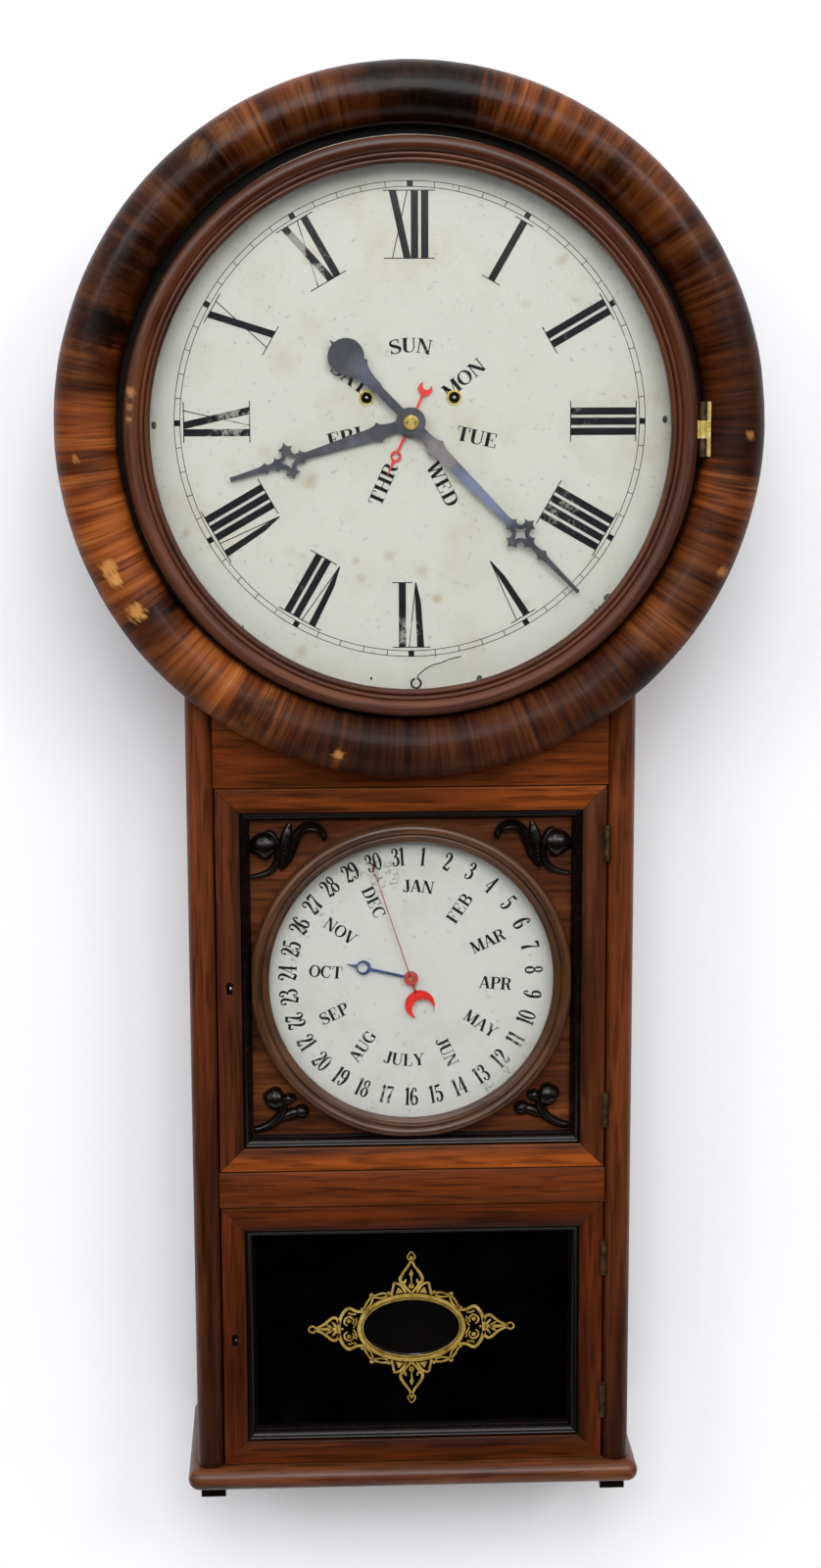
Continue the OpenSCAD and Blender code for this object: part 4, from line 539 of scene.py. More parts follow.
def turned(name, profile, centre, finish, segments=360, uneven=0.0):  # profile of (radius, forward) in mm
    mesh = meshOf(name, [(r * mm, f * mm, 0) for r, f in profile])
    return grown(name, turnedTree, mesh, {"Segments": segments, "Centre": (centre - dialDrop) * mm,
                                          "Unevenness": uneven * mm, "Finish": finish})


def arc(x, y, wide, tall, start, stop, count):  # points about a middle, by angles from the right, anticlockwise
    turns = [math.radians(start + (stop - start) * i / count) for i in range(count + 1)]
    return [(x + wide * math.cos(t), y + tall * math.sin(t)) for t in turns]


# the veneered ring round the head
ring = {"inner": 200.5, "outer": 242.5, "centre": -2.5, "back": 125.0, "edge": 9.0, "uneven": 0.9,
        "chips": [(-206, -97, 7, 0.8), (-202, -104, 5, 0.9), (-188, -126, 7, 0.8), (-52, -226, 4, 0.8),
                  (230, -9, 3, 0.5), (-227, -22, 3, 0.5), (213, -102, 4, 0.5), (-124, 193, 8, 0.12),
                  (-140, 179, 8, 0.12)]}
half = (ring["outer"] - ring["inner"]) / 2
profile = [(ring["inner"], ring["back"])]
profile += arc(ring["inner"] + half, ring["back"] + ring["edge"], half, half, 180, 0, 44)
profile += [(ring["outer"], ring["back"])]
mesh = turned("headRing", profile, ring["centre"], ringVeneer, 540, ring["uneven"])
headRing = settle("headRing", mesh, "case", replaced=["head_ring"])


def wear(obj, spots, depth, seed):  # chips: bare wood and a shallow dent round each (x, z, size, bareness) in mm
    chance = random.Random(seed)
    shades = obj.data.attributes.new("worn", "FLOAT", "POINT")
    middles = [(at(x, 0, z), size * mm, bare) for x, z, size, bare in spots]
    for vertex in obj.data.vertices:
        for middle, size, bare in middles:
            gap = math.hypot(vertex.co.x - middle.x, vertex.co.z - middle.z) / size
            gap += chance.uniform(-0.3, 0.3)
            if gap < 1:
                shades.data[vertex.index].value = bare * min(1.0, 2.5 * (1 - gap))
                vertex.co.y += depth * mm * (1 - gap)


wear(headRing, ring["chips"], depth=0.8, seed=3)

# the turned bezel: broad round, bead and lip
bezel = {"outer": 195.0, "inner": 177.2, "seat": 182.4, "back": 127.5, "front": 150.5, "lip": 4.2, "lipDrop": 5.5,
         "bead": 1.7, "beadDrop": 4.0, "roundness": 0.62, "glassFront": 141.0, "centre": -5.0, "uneven": 0.25,
         "chips": [(-189, 22, 3.5, 0.5), (-190, 12, 2.6, 0.4), (-191, 4, 2.2, 0.45)]}
beadAt = bezel["inner"] + bezel["lip"] + bezel["bead"]
broad = bezel["outer"] - beadAt - bezel["bead"]
broadR = broad * bezel["roundness"]
sweep = math.degrees(math.acos(broad / 2 / broadR))
profile = [(bezel["seat"], bezel["back"]), (bezel["seat"], bezel["glassFront"]), (bezel["inner"], bezel["glassFront"])]
lip = bezel["lip"] / 2
profile += arc(bezel["inner"] + lip, bezel["front"] - bezel["lipDrop"], lip, lip, 180, 10, 12)
profile += arc(beadAt, bezel["front"] - bezel["beadDrop"], bezel["bead"], bezel["bead"], 170, 10, 10)
profile += arc(bezel["outer"] - broad / 2, bezel["front"] - broadR, broadR, broadR, 180 - sweep, sweep, 26)
profile += [(bezel["outer"], bezel["back"])]
mesh = turned("bezelRing", profile, bezel["centre"], bezelWood, 540, bezel["uneven"])
bezelRing = settle("bezelRing", mesh, "bezel", replaced=["bezel_ring"])
wear(bezelRing, bezel["chips"], depth=0.4, seed=5)

# the calendar's bezel on the upper door
small = {"outer": 115.8, "opening": 102.0, "back": 104.4, "rebate": panelFront, "lipBack": 110.8,
         "centre": calendarZ, "trimX": 114.2, "trimLow": -511.2, "trimHigh": -279.8,
         "moulded": [(102.0, 112.9), (102.3, 113.5), (102.9, 113.8), (103.6, 113.9), (104.4, 114.3), (105.1, 115.0),
                     (105.6, 115.8), (105.9, 116.3), (106.4, 116.6), (106.9, 116.4), (107.2, 116.0), (107.4, 115.7)],
         "round": (111.5, 113.4, 4.3, 5.4), "uneven": 0.2}
profile = [(small["back"], small["rebate"]), (small["back"], small["lipBack"]), (small["opening"], small["lipBack"])]
profile += small["moulded"] + arc(*small["round"], 152, 0, 19)
mesh = turned("calendarBezel", profile + [(small["outer"], small["rebate"])], small["centre"], calendarWood,
              uneven=small["uneven"])
for vertex in mesh.vertices:  # trimmed where it meets the beads
    vertex.co.x = max(-small["trimX"] * mm, min(small["trimX"] * mm, vertex.co.x))
    vertex.co.z = max((small["trimLow"] - dialDrop) * mm, min((small["trimHigh"] - dialDrop) * mm, vertex.co.z))
settle("calendarBezel", mesh, "calendar_door", replaced=["calendar_bezel"])
print("rings turned")


# printing on the dials, made as thin closed plates of paired edges
def bar(x0, y0, x1, y1):
    return [(x0, y0), (x0, y1)], [(x1, y0), (x1, y1)], False


def slant(x0, y0, x1, y1, w):
    return [(x0 - w / 2, y0), (x1 - w / 2, y1)], [(x0 + w / 2, y0), (x1 + w / 2, y1)], False


def ball(x, y, r, count=10):
    turns = [math.pi * (i + 0.02) / count for i in range(count + 1)]
    return ([(x - r * math.cos(t), y + r * math.sin(t)) for t in turns],
            [(x - r * math.cos(t), y - r * math.sin(t)) for t in turns], False)


def smooth(spots, steps=5):  # x, y, unit normal and the other values of the spots, along a smooth line through them
    path, last = [], len(spots) - 1
    for i in range(last):
        near = [spots[max(i - 1, 0)], spots[i], spots[i + 1], spots[min(i + 2, last)]]
        for t in (k / steps for k in range(steps)):
            path.append([0.5 * (2 * b + (c - a) * t + (2 * a - 5 * b + 4 * c - d) * t * t
                                + (3 * b - a - 3 * c + d) * t ** 3) for a, b, c, d in zip(*(s[:2] for s in near))]
                        + [v + (w - v) * t for v, w in zip(near[1][2:], near[2][2:])])
    path.append(spots[-1])
    found = []
    for i, (x, y, *own) in enumerate(path):
        ax, ay, bx, by = *path[max(i - 1, 0)][:2], *path[min(i + 1, len(path) - 1)][:2]
        span = math.hypot(bx - ax, by - ay) or 1.0
        found.append((x, y, (ay - by) / span, (bx - ax) / span, *own))
    return found


def brush(*spots):  # a stroke through spots of x, y and width
    path = smooth(spots)
    return ([(x + nx * w / 2, y + ny * w / 2) for x, y, nx, ny, w in path],
            [(x - nx * w / 2, y - ny * w / 2) for x, y, nx, ny, w in path], False)


def post(x, w=19, low=0, high=100, foot=True, head=True, out=10, serif=5):  # a stem with its serifs
    strokes = [bar(x - w / 2, low, x + w / 2, high)]
    if foot:
        strokes.append(bar(x - w / 2 - out, low, x + w / 2 + out, low + serif))
    if head:
        strokes.append(bar(x - w / 2 - out, high - serif, x + w / 2 + out, high))
    return strokes


def halves(x, y, rx, ry, thick, thin):  # the two sides of a round letter
    between = (thick + thin) / 2
    bow = [(0, 1, thin), (-0.72, 0.7, between), (-1, 0, thick), (-0.72, -0.7, between), (0, -1, thin)]
    return [brush(*((x + s * a * rx, y + b * ry, w) for a, b, w in bow)) for s in (1, -1)]


# letters and figures, in hundredths of their height: width and strokes
bowlD = brush((20, 97, 5), (50, 96, 6), (69, 80, 14), (75, 50, 19), (69, 20, 14), (50, 4, 6), (20, 3, 5))
bowlP = brush((20, 97, 5), (48, 96, 6), (64, 87, 14), (66, 73, 19), (61, 58, 13), (45, 49, 6), (20, 48, 5))
bowlC = brush((72, 72, 5), (65, 91, 8), (45, 97, 6), (21, 84, 14), (11, 50, 19), (21, 16, 14), (45, 3, 6), (66, 10, 6),
              (75, 30, 4))
armsE = [bar(20, 95, 68, 100), bar(63, 72, 68, 100), bar(20, 48, 50, 53), bar(46, 37, 50, 64)]
letters = {
    "A": (88, [slant(10, 0, 40, 100, 7), slant(72, 0, 43, 100, 20), bar(20, 30, 60, 35), bar(0, 0, 23, 5),
               bar(55, 0, 90, 5)]),
    "B": (84, post(20) + [bowlP, brush((20, 50, 5), (50, 50, 6), (70, 40, 15), (73, 26, 19), (67, 10, 14), (48, 3, 6),
                                       (20, 3, 5))]),
    "C": (86, [bowlC, bar(71, 68, 76, 98)]),
    "D": (90, post(20) + [bowlD]),
    "E": (82, post(20) + armsE + [bar(20, 0, 72, 5), bar(67, 0, 72, 30)]),
    "F": (78, post(20) + armsE),
    "G": (94, [bowlC, bar(71, 68, 76, 98)] + post(70, 17, 5, 45, foot=False)),
    "H": (94, post(20) + post(74) + [bar(20, 47, 74, 53)]),
    "I": (42, post(20)),
    "J": (62, post(42, low=26, foot=False) + [brush((42, 28, 19), (40, 10, 15), (26, 2, 6), (14, 6, 8), (10, 20, 15))]),
    "L": (78, post(20) + [bar(20, 0, 70, 5), bar(65, 0, 70, 32)]),
    "M": (108, post(16, 6) + post(88) + [slant(18, 100, 50, 4, 19), slant(84, 100, 52, 4, 6)]),
    "N": (94, post(16, 6) + post(78, 6, foot=False) + [slant(18, 100, 76, 0, 20)]),
    "O": (90, halves(45, 50, 34, 48, 19, 5)),
    "P": (78, post(20) + [bowlP]),
    "R": (90, post(20) + [bowlP, brush((40, 50, 6), (55, 43, 15), (62, 24, 18), (70, 6, 12), (86, 7, 4))]),
    "S": (78, [brush((62, 74, 5), (58, 91, 7), (40, 97, 6), (20, 89, 10), (14, 74, 13), (24, 60, 18), (45, 48, 20),
                     (62, 36, 18), (65, 22, 13), (55, 8, 8), (36, 3, 6), (18, 10, 7), (12, 28, 5)), bar(60, 70, 65, 98),
               bar(9, 2, 14, 30)]),
    "T": (82, post(41, head=False) + [bar(4, 95, 78, 100), bar(4, 70, 9, 100), bar(73, 70, 78, 100)]),
    "U": (88, post(20, low=28, foot=False) + post(72, 6, low=28, foot=False)
          + [brush((20, 30, 19), (25, 11, 15), (44, 3, 6), (64, 10, 5), (72, 30, 6))]),
    "V": (88, [slant(16, 100, 45, 0, 20), slant(76, 100, 47, 0, 6), bar(0, 95, 33, 100), bar(62, 95, 90, 100)]),
    "W": (112, [slant(14, 100, 35, 0, 18), slant(55, 100, 37, 0, 6), slant(55, 100, 76, 0, 18),
                slant(98, 100, 78, 0, 6), bar(0, 95, 28, 100), bar(42, 95, 68, 100), bar(85, 95, 110, 100)]),
    "Y": (88, [slant(16, 100, 43, 45, 19), slant(76, 100, 47, 45, 6), bar(0, 95, 32, 100), bar(62, 95, 90, 100)]
          + post(45, high=50, head=False)),
    "0": (44, halves(22, 50, 16, 48, 10, 3.5)),
    "1": (32, [bar(12, 0, 22, 100), bar(3, 0, 31, 3.5), brush((3, 86, 3), (10, 92, 4), (17, 99, 5))]),
    "2": (44, [ball(10, 75, 5.5), brush((6, 76, 5), (11, 92, 4), (22, 97, 5), (34, 88, 9), (36, 72, 11), (28, 50, 9),
                                        (15, 25, 5), (6, 5, 4)),
               brush((6, 5, 5), (17, 10, 10), (28, 4, 10), (36, 7, 6), (40, 25, 3))]),
    "3": (44, [ball(10, 81, 5.5), ball(9, 19, 5.5),
               brush((7, 82, 4), (13, 94, 4), (22, 97, 5), (33, 88, 9), (33, 70, 10), (24, 57, 5), (15, 54, 4)),
               brush((15, 54, 4), (28, 52, 6), (37, 37, 10), (36, 17, 10), (24, 3, 5), (12, 5, 4), (6, 18, 4))]),
    "4": (46, [bar(25, 0, 35, 100), bar(17, 0, 43, 3.5), slant(4, 30, 30, 98, 3.5), bar(2, 27, 45, 31)]),
    "5": (44, [ball(10, 20, 5.5), bar(8, 52, 11.5, 97), brush((9, 95, 5), (20, 92, 10), (30, 94, 9), (37, 99, 3)),
               brush((9, 53, 3), (20, 60, 5), (34, 50, 10), (37, 28, 11), (30, 8, 8), (18, 3, 4), (9, 8, 4),
                     (6, 20, 4))]),
    "6": (44, [ball(33, 83, 5.5), brush((36, 83, 4), (30, 96, 4), (20, 95, 5), (8, 66, 11), (7, 30, 11), (13, 8, 8),
                                        (23, 3, 4)),
               brush((23, 3, 4), (35, 12, 8), (38, 30, 10), (33, 46, 9), (23, 52, 4), (10, 44, 3))]),
    "7": (44, [brush((6, 78, 3), (10, 93, 10), (22, 92, 10), (32, 95, 7), (40, 97, 3)),
               brush((40, 97, 3), (29, 62, 6), (22, 30, 11), (22, 0, 12))]),
    "8": (44, halves(22, 76, 12, 22, 8, 4) + halves(22, 28, 15, 26, 10, 4))}


def bolder(stroke, much):  # thickened about its middle line; level bars keep their length
    left, rightSide, closed = stroke
    if len(left) == 2 and abs(rightSide[0][0] - left[0][0]) > abs(left[1][1] - left[0][1]):
        return stroke
    pairs = [((l[0] + r[0]) / 2, (l[1] + r[1]) / 2, (l[0] - r[0]) / 2 * much, (l[1] - r[1]) / 2 * much)
             for l, r in zip(left, rightSide)]
    return [(x + a, y + b) for x, y, a, b in pairs], [(x - a, y - b) for x, y, a, b in pairs], closed


weights = (1.15, 1.5)  # of letters and of figures
for character, (width, own) in letters.items():
    letters[character] = (width, [bolder(stroke, weights[character.isdigit()]) for stroke in own])
width, own = letters["6"]
letters["9"] = (width, [tuple([(width - x, 100 - y) for x, y in edge] for edge in s[:2]) + (False,) for s in own])


def plates(name, strokes, base, thick, body, finish, replaced=(), merge=0):  # a piece of thin closed plates
    skins = [([[at(lx, base + thick, lz), at(rx, base + thick, rz), at(rx, base, rz), at(lx, base, lz)]
               for (lx, lz), (rx, rz) in zip(left, rightSide)], closed) for left, rightSide, closed in strokes]
    return settle(name, skinned(name, skins), body, finish, replaced, merge=merge)


def laid(strokes, spot):  # strokes with each of their points moved by a function
    return [([spot(*p) for p in left], [spot(*p) for p in rightSide], closed) for left, rightSide, closed in strokes]


def printed(word, height, stretch, radius, degrees, centre, way):
    # way: "round" tops outward, "under" tops inward, "out" and "in" read along the radius
    widths, tall = [letters[c][0] for c in word], height / 100
    wide, cursor, strokes = tall * stretch, -sum(widths) / 2, []
    for character, width in zip(word, widths):
        middle = (cursor + width / 2) * wide
        cursor += width
        bend = {"round": middle / radius, "under": -middle / radius}.get(way, 0.0)
        turn = math.radians(degrees) + bend
        out, clockwise = (math.sin(turn), math.cos(turn)), (math.cos(turn), -math.sin(turn))
        reach, ahead, upward = radius, clockwise, out
        if way == "under":
            ahead, upward = (-clockwise[0], -clockwise[1]), (-out[0], -out[1])
        if way == "out":
            reach, ahead, upward = radius + middle, out, (-clockwise[0], -clockwise[1])
        if way == "in":
            reach, ahead, upward = radius - middle, (-out[0], -out[1]), clockwise

        def spot(x, y, width=width, out=out, reach=reach, ahead=ahead, upward=upward):
            x, y = (x - width / 2) * wide, (y - 50) * tall
            return (out[0] * reach + ahead[0] * x + upward[0] * y,
                    centre + out[1] * reach + ahead[1] * x + upward[1] * y)
        strokes += laid(letters[character][1], spot)
    return strokes


timePrint = {"inner": 110.0, "outer": 155.0, "stroke": 5.0, "hair": 0.7, "face": dialFace, "ink": 0.06,
             "wordHeight": 9.8, "wordStretch": 1.18, "trackIn": 157.5, "trackOut": 161.4, "line": 0.5, "serif": 4.4,
             "block": 4.1, "blockOver": 0.4, "advance": {"I": 6.9, "V": 12.2, "X": 13.0}}
strokes, advance, serif = [], timePrint["advance"], timePrint["serif"]
low, high, wide, hair = (timePrint[k] for k in ("inner", "outer", "stroke", "hair"))
for hour, numeral in enumerate(["XII", "I", "II", "III", "IIII", "V", "VI", "VII", "VIII", "IX", "X", "XI"]):
    cursor = -sum(advance[c] for c in numeral) / 2
    own, ends = [], {"inner": [], "outer": []}
    for c in numeral:
        if c == "I":
            x = cursor + advance[c] / 2
            own.append(bar(x - wide / 2, low, x + wide / 2, high))
            ends["inner"] += [x - wide / 2, x + wide / 2]
            ends["outer"] += [x - wide / 2, x + wide / 2]
        elif c == "V":
            x = cursor + 3.0
            own.append(([(x + 2.9, low), (x - 0.3, low + 14), (x - wide / 2, high)],
                        [(x + 3.5, low), (x + 3.9, low + 10), (x + wide / 2, high)], False))
            own.append(slant(x + 3.4, low, x + 8, high, hair))
            ends["outer"] += [x - wide / 2, x + 8]
        else:
            x = cursor + advance[c] / 2
            own += [slant(x + wide, low, x - wide, high, wide), slant(x - wide, low, x + wide, high, hair)]
            ends["inner"] += [x - 1.3 * wide, x + 1.4 * wide]
            ends["outer"] += [x - 1.4 * wide, x + 1.3 * wide]
        cursor += advance[c]
    for y, xs in ((low, ends["inner"]), (high, ends["outer"])):
        if xs:
            own.append(bar(min(xs) - serif, y - hair / 2, max(xs) + serif, y + hair / 2))
    turn = math.radians(30 * hour)
    strokes += laid(own, lambda x, y, t=turn: (y * math.sin(t) + x * math.cos(t), y * math.cos(t) - x * math.sin(t)))
for word, radius, degrees, way in (("SUN", 52, 0, "round"), ("MON", 46.8, 50.9, "out"), ("TUE", 46.9, 102.8, "out"),
                                   ("WED", 47.8, 152.5, "out"), ("THR", 46.2, 204.3, "in"), ("FRI", 46.1, 257.6, "in"),
                                   ("SAT", 51.4, 306.4, "in")):
    strokes += printed(word, timePrint["wordHeight"], timePrint["wordStretch"], radius, degrees, 0.0, way)
plates("timeDialPrint", strokes, timePrint["face"], timePrint["ink"], "case", inkFinish)

calendarPrint = {"face": 101.0, "ink": 0.06, "centre": calendarZ, "dates": 89.0, "dateHeight": 13.2,
                 "dateStretch": 0.98, "months": 61.5, "monthHeight": 9.0, "monthStretch": 1.04, "monthTurn": 4.7,
                 "januaryOut": 6.0}
strokes = []
for day in range(1, 32):
    degrees = 180 + (day - 16) * 360 / 31
    strokes += printed(str(day), calendarPrint["dateHeight"], calendarPrint["dateStretch"], calendarPrint["dates"],
                       degrees, calendarPrint["centre"], "under" if 10 <= day <= 22 else "round")
for k, word in enumerate(["JAN", "FEB", "MAR", "APR", "MAY", "JUN", "JULY", "AUG", "SEP", "OCT", "NOV", "DEC"]):
    way = "round" if k == 0 else "under" if k == 6 else "out" if k < 6 else "in"
    radius = calendarPrint["months"] + (calendarPrint["januaryOut"] if k == 0 else 0.0)
    strokes += printed(word, calendarPrint["monthHeight"], calendarPrint["monthStretch"], radius,
                       calendarPrint["monthTurn"] + 30 * k, calendarPrint["centre"], way)
plates("calendarPrint", strokes, calendarPrint["face"], calendarPrint["ink"], "case", inkFinish)

# marks set round a dial, each a thin plate turned to its place
marksTree, given = geometryTree("marksRoundDial",
                                {"Count": "Int", "Radius": "Float", "Width": "Float", "Length": "Float",
                                 "Thickness": "Float", "Forward": "Float", "Centre": "Float", "Finish": "Material"})
spots = put(marksTree, "GeometryNodeMeshLine", {"Count": given["Count"], "Offset": (0, 0, 0)})
size = put(marksTree, "CombineXYZ", given["Width"], given["Thickness"], given["Length"])
behind = put(marksTree, "Math MULTIPLY", given["Forward"], -1.0)
place = put(marksTree, "CombineXYZ", {1: behind, 2: given["Radius"]})
mark = put(marksTree, "GeometryNodeMeshCube", {"Size": size})
mark = put(marksTree, "GeometryNodeTransform", {0: mark, "Translation": place})
step = put(marksTree, "Math DIVIDE", 2 * math.pi, given["Count"])
turn = put(marksTree, "Math MULTIPLY", put(marksTree, "GeometryNodeInputIndex"), step)
turn = put(marksTree, "CombineXYZ", {1: turn})
marks = put(marksTree, "GeometryNodeInstanceOnPoints", {0: spots, "Instance": mark, "Rotation": turn})
drop = put(marksTree, "CombineXYZ", {2: given["Centre"]})
marks = put(marksTree, "GeometryNodeTransform", {0: marks, "Translation": drop})
endTree(marksTree, marks, given["Finish"])
middle, across = (timePrint["trackIn"] + timePrint["trackOut"]) / 2, timePrint["trackOut"] - timePrint["trackIn"]
for name, count, width, length in (("minuteTicks", 60, timePrint["line"], across),
                                   ("fiveMinuteBlocks", 12, timePrint["block"], across + timePrint["blockOver"])):
    mesh = grown(name, marksTree, meshOf(name, []),
                 {"Count": count, "Radius": middle * mm, "Width": width * mm, "Length": length * mm,
                  "Thickness": timePrint["ink"] * mm, "Forward": (timePrint["face"] + timePrint["ink"] / 2) * mm,
                  "Centre": -dialDrop * mm, "Finish": inkFinish})
    settle(name, mesh, "case", merge=0)
for name, radius in (("minuteTrackInner", timePrint["trackIn"]), ("minuteTrackOuter", timePrint["trackOut"])):
    near, far = radius - timePrint["line"] / 2, radius + timePrint["line"] / 2
    top = timePrint["face"] + timePrint["ink"]
    profile = [(near, timePrint["face"]), (near, top), (far, top), (far, timePrint["face"])]
    settle(name, turned(name, profile, 0.0, inkFinish, 240), "case")
print("dials printed")


def cadCopy(node):  # a merged copy of a CAD solid with its flat faces whole
    work = bmesh.new()
    work.from_mesh(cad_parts[node].data)
    bmesh.ops.remove_doubles(work, verts=work.verts, dist=0.000002)
    bmesh.ops.dissolve_limit(work, angle_limit=0.01, verts=work.verts, edges=work.edges)
    return work


def easeEdges(work, width, shortest=4.0):  # planed edges, softened and a little rubbed
    sharp = [e for e in work.edges if len(e.link_faces) == 2 and e.calc_face_angle() > 0.7
             and e.calc_length() > shortest * mm]
    made = bmesh.ops.bevel(work, geom=sharp, offset=width * mm, offset_type="OFFSET", segments=2, profile=0.5,
                           affect="EDGES", clamp_overlap=True)
    new = set(made["faces"])  # the crown of each edge is what lies wholly in new faces
    return {v for face in new for v in face.verts if all(near in new for near in v.link_faces)}


def frameOf(node, name, body, upright, across, rub, seed, edge=0.6, seam=0.05):
    # a door frame sawn at its mitres, the grain along each member
    chance = random.Random(seed)
    lo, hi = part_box(node)
    points, faces, kinds, wearAndSheen = [], [], [], []
    corners = {"left": [((lo.x, hi.z), (1, 1)), ((lo.x, lo.z), (1, -1))],
               "right": [((hi.x, hi.z), (-1, 1)), ((hi.x, lo.z), (-1, -1))],
               "top": [((lo.x, hi.z), (-1, -1)), ((hi.x, hi.z), (1, -1))],
               "bottom": [((lo.x, lo.z), (-1, 1)), ((hi.x, lo.z), (1, 1))]}
    for member, cuts in corners.items():
        work = cadCopy(node)
        for (x, z), (nx, nz) in cuts:
            normal = Vector((nx, 0, nz)).normalized()
            bmesh.ops.bisect_plane(work, geom=[*work.verts, *work.edges, *work.faces],
                                   plane_co=Vector((x, 0, z)) - normal * seam * mm, plane_no=normal, clear_outer=True)
            bmesh.ops.holes_fill(work, edges=[e for e in work.edges if e.is_boundary], sides=0)
        soft = easeEdges(work, edge)
        work.verts.index_update()
        start = len(points)
        points += [v.co.copy() for v in work.verts]
        wearAndSheen += [chance.uniform(0, rub) if v in soft else 0.0 for v in work.verts]
        faces += [[start + v.index for v in face.verts] for face in work.faces]
        kinds += [0 if member in ("left", "right") else 1] * len(work.faces)
        work.free()
    mesh = meshOf(name, points, faces)
    keep(mesh, "worn", wearAndSheen)
    mesh.materials.append(upright)
    mesh.materials.append(across)
    mesh.polygons.foreach_set("material_index", kinds)
    return settle(name, mesh, body, replaced=[node], merge=0)


def eased(node, name, body, finish, edge, rub, seed):  # a CAD solid with its edges softened
    chance = random.Random(seed)
    work = cadCopy(node)
    soft = easeEdges(work, edge)
    wearAndSheen = [chance.uniform(0, rub) if v in soft else 0.0 for v in work.verts]
    mesh = meshOf(name, [])
    work.to_mesh(mesh)
    work.free()
    keep(mesh, "worn", wearAndSheen)
    return settle(name, mesh, body, finish, replaced=[node], merge=0)


frameOf("calendar_door_frame", "calendarDoorFrame", "calendar_door", stileVeneer, railVeneer, rub=0.16, seed=11)
frameOf("pendulum_door_frame", "pendulumDoorFrame", "pendulum_door", lowStileVeneer, lowRailVeneer, rub=0.14, seed=12)
eased("front_rails", "frontRails", "case", headerVeneer, edge=0.5, rub=0.12, seed=13)


def moulding(name, node, body, profile):  # profile of (inward, forward) swept round the sight opening
    lo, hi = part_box(node)
    lowZ, highZ = lo.z / mm + dialDrop, hi.z / mm + dialDrop
    sections = []
    for inward, forward in profile:
        x0, x1 = lo.x / mm + inward, hi.x / mm - inward
        z0, z1 = lowZ + inward, highZ - inward
        sections.append([at(x0, forward, z0), at(x1, forward, z0), at(x1, forward, z1), at(x0, forward, z1)])
    return settle(name, skinned(name, [(sections, True)]), body, ebony, replaced=[node], sharp=30)


# points as inward, forward; the round as its middle and half sizes
bead = {"outside": [(0, panelFront), (0, 117.4), (0.6, 117.8), (1.6, 117.8)],
        "inside": [(6.2, 110.4), (7.0, 110.2), (7.0, panelFront)], "round": (1.6, 111.2, 4.6, 6.2)}
beadProfile = bead["outside"] + arc(*bead["round"], 80, 0, 8) + bead["inside"]
moulding("calendarDoorBead", "calendar_door_bead", "calendar_door", beadProfile)
moulding("pendulumDoorBead", "pendulum_door_bead", "pendulum_door", beadProfile)
print("doors framed")


# carved sprays in the corners of the calendar panel
def swell(spots, base, flip, groove, around=10):  # sections of one rounded leaf, grooved along its middle
    sections = []
    for x, z, nx, nz, w, h in smooth(spots):
        turns = [math.cos(math.pi * k / around) for k in range(around + 1)]
        lifts = [h * math.sqrt(max(0.0, 1 - s * s)) * (1 - groove * math.exp(-(s / 0.18) ** 2)) for s in turns]
        sections.append([at(flip * (x + nx * s * w / 2), base + lift, z + nz * s * w / 2)
                         for s, lift in zip(turns, lifts)])
    return sections


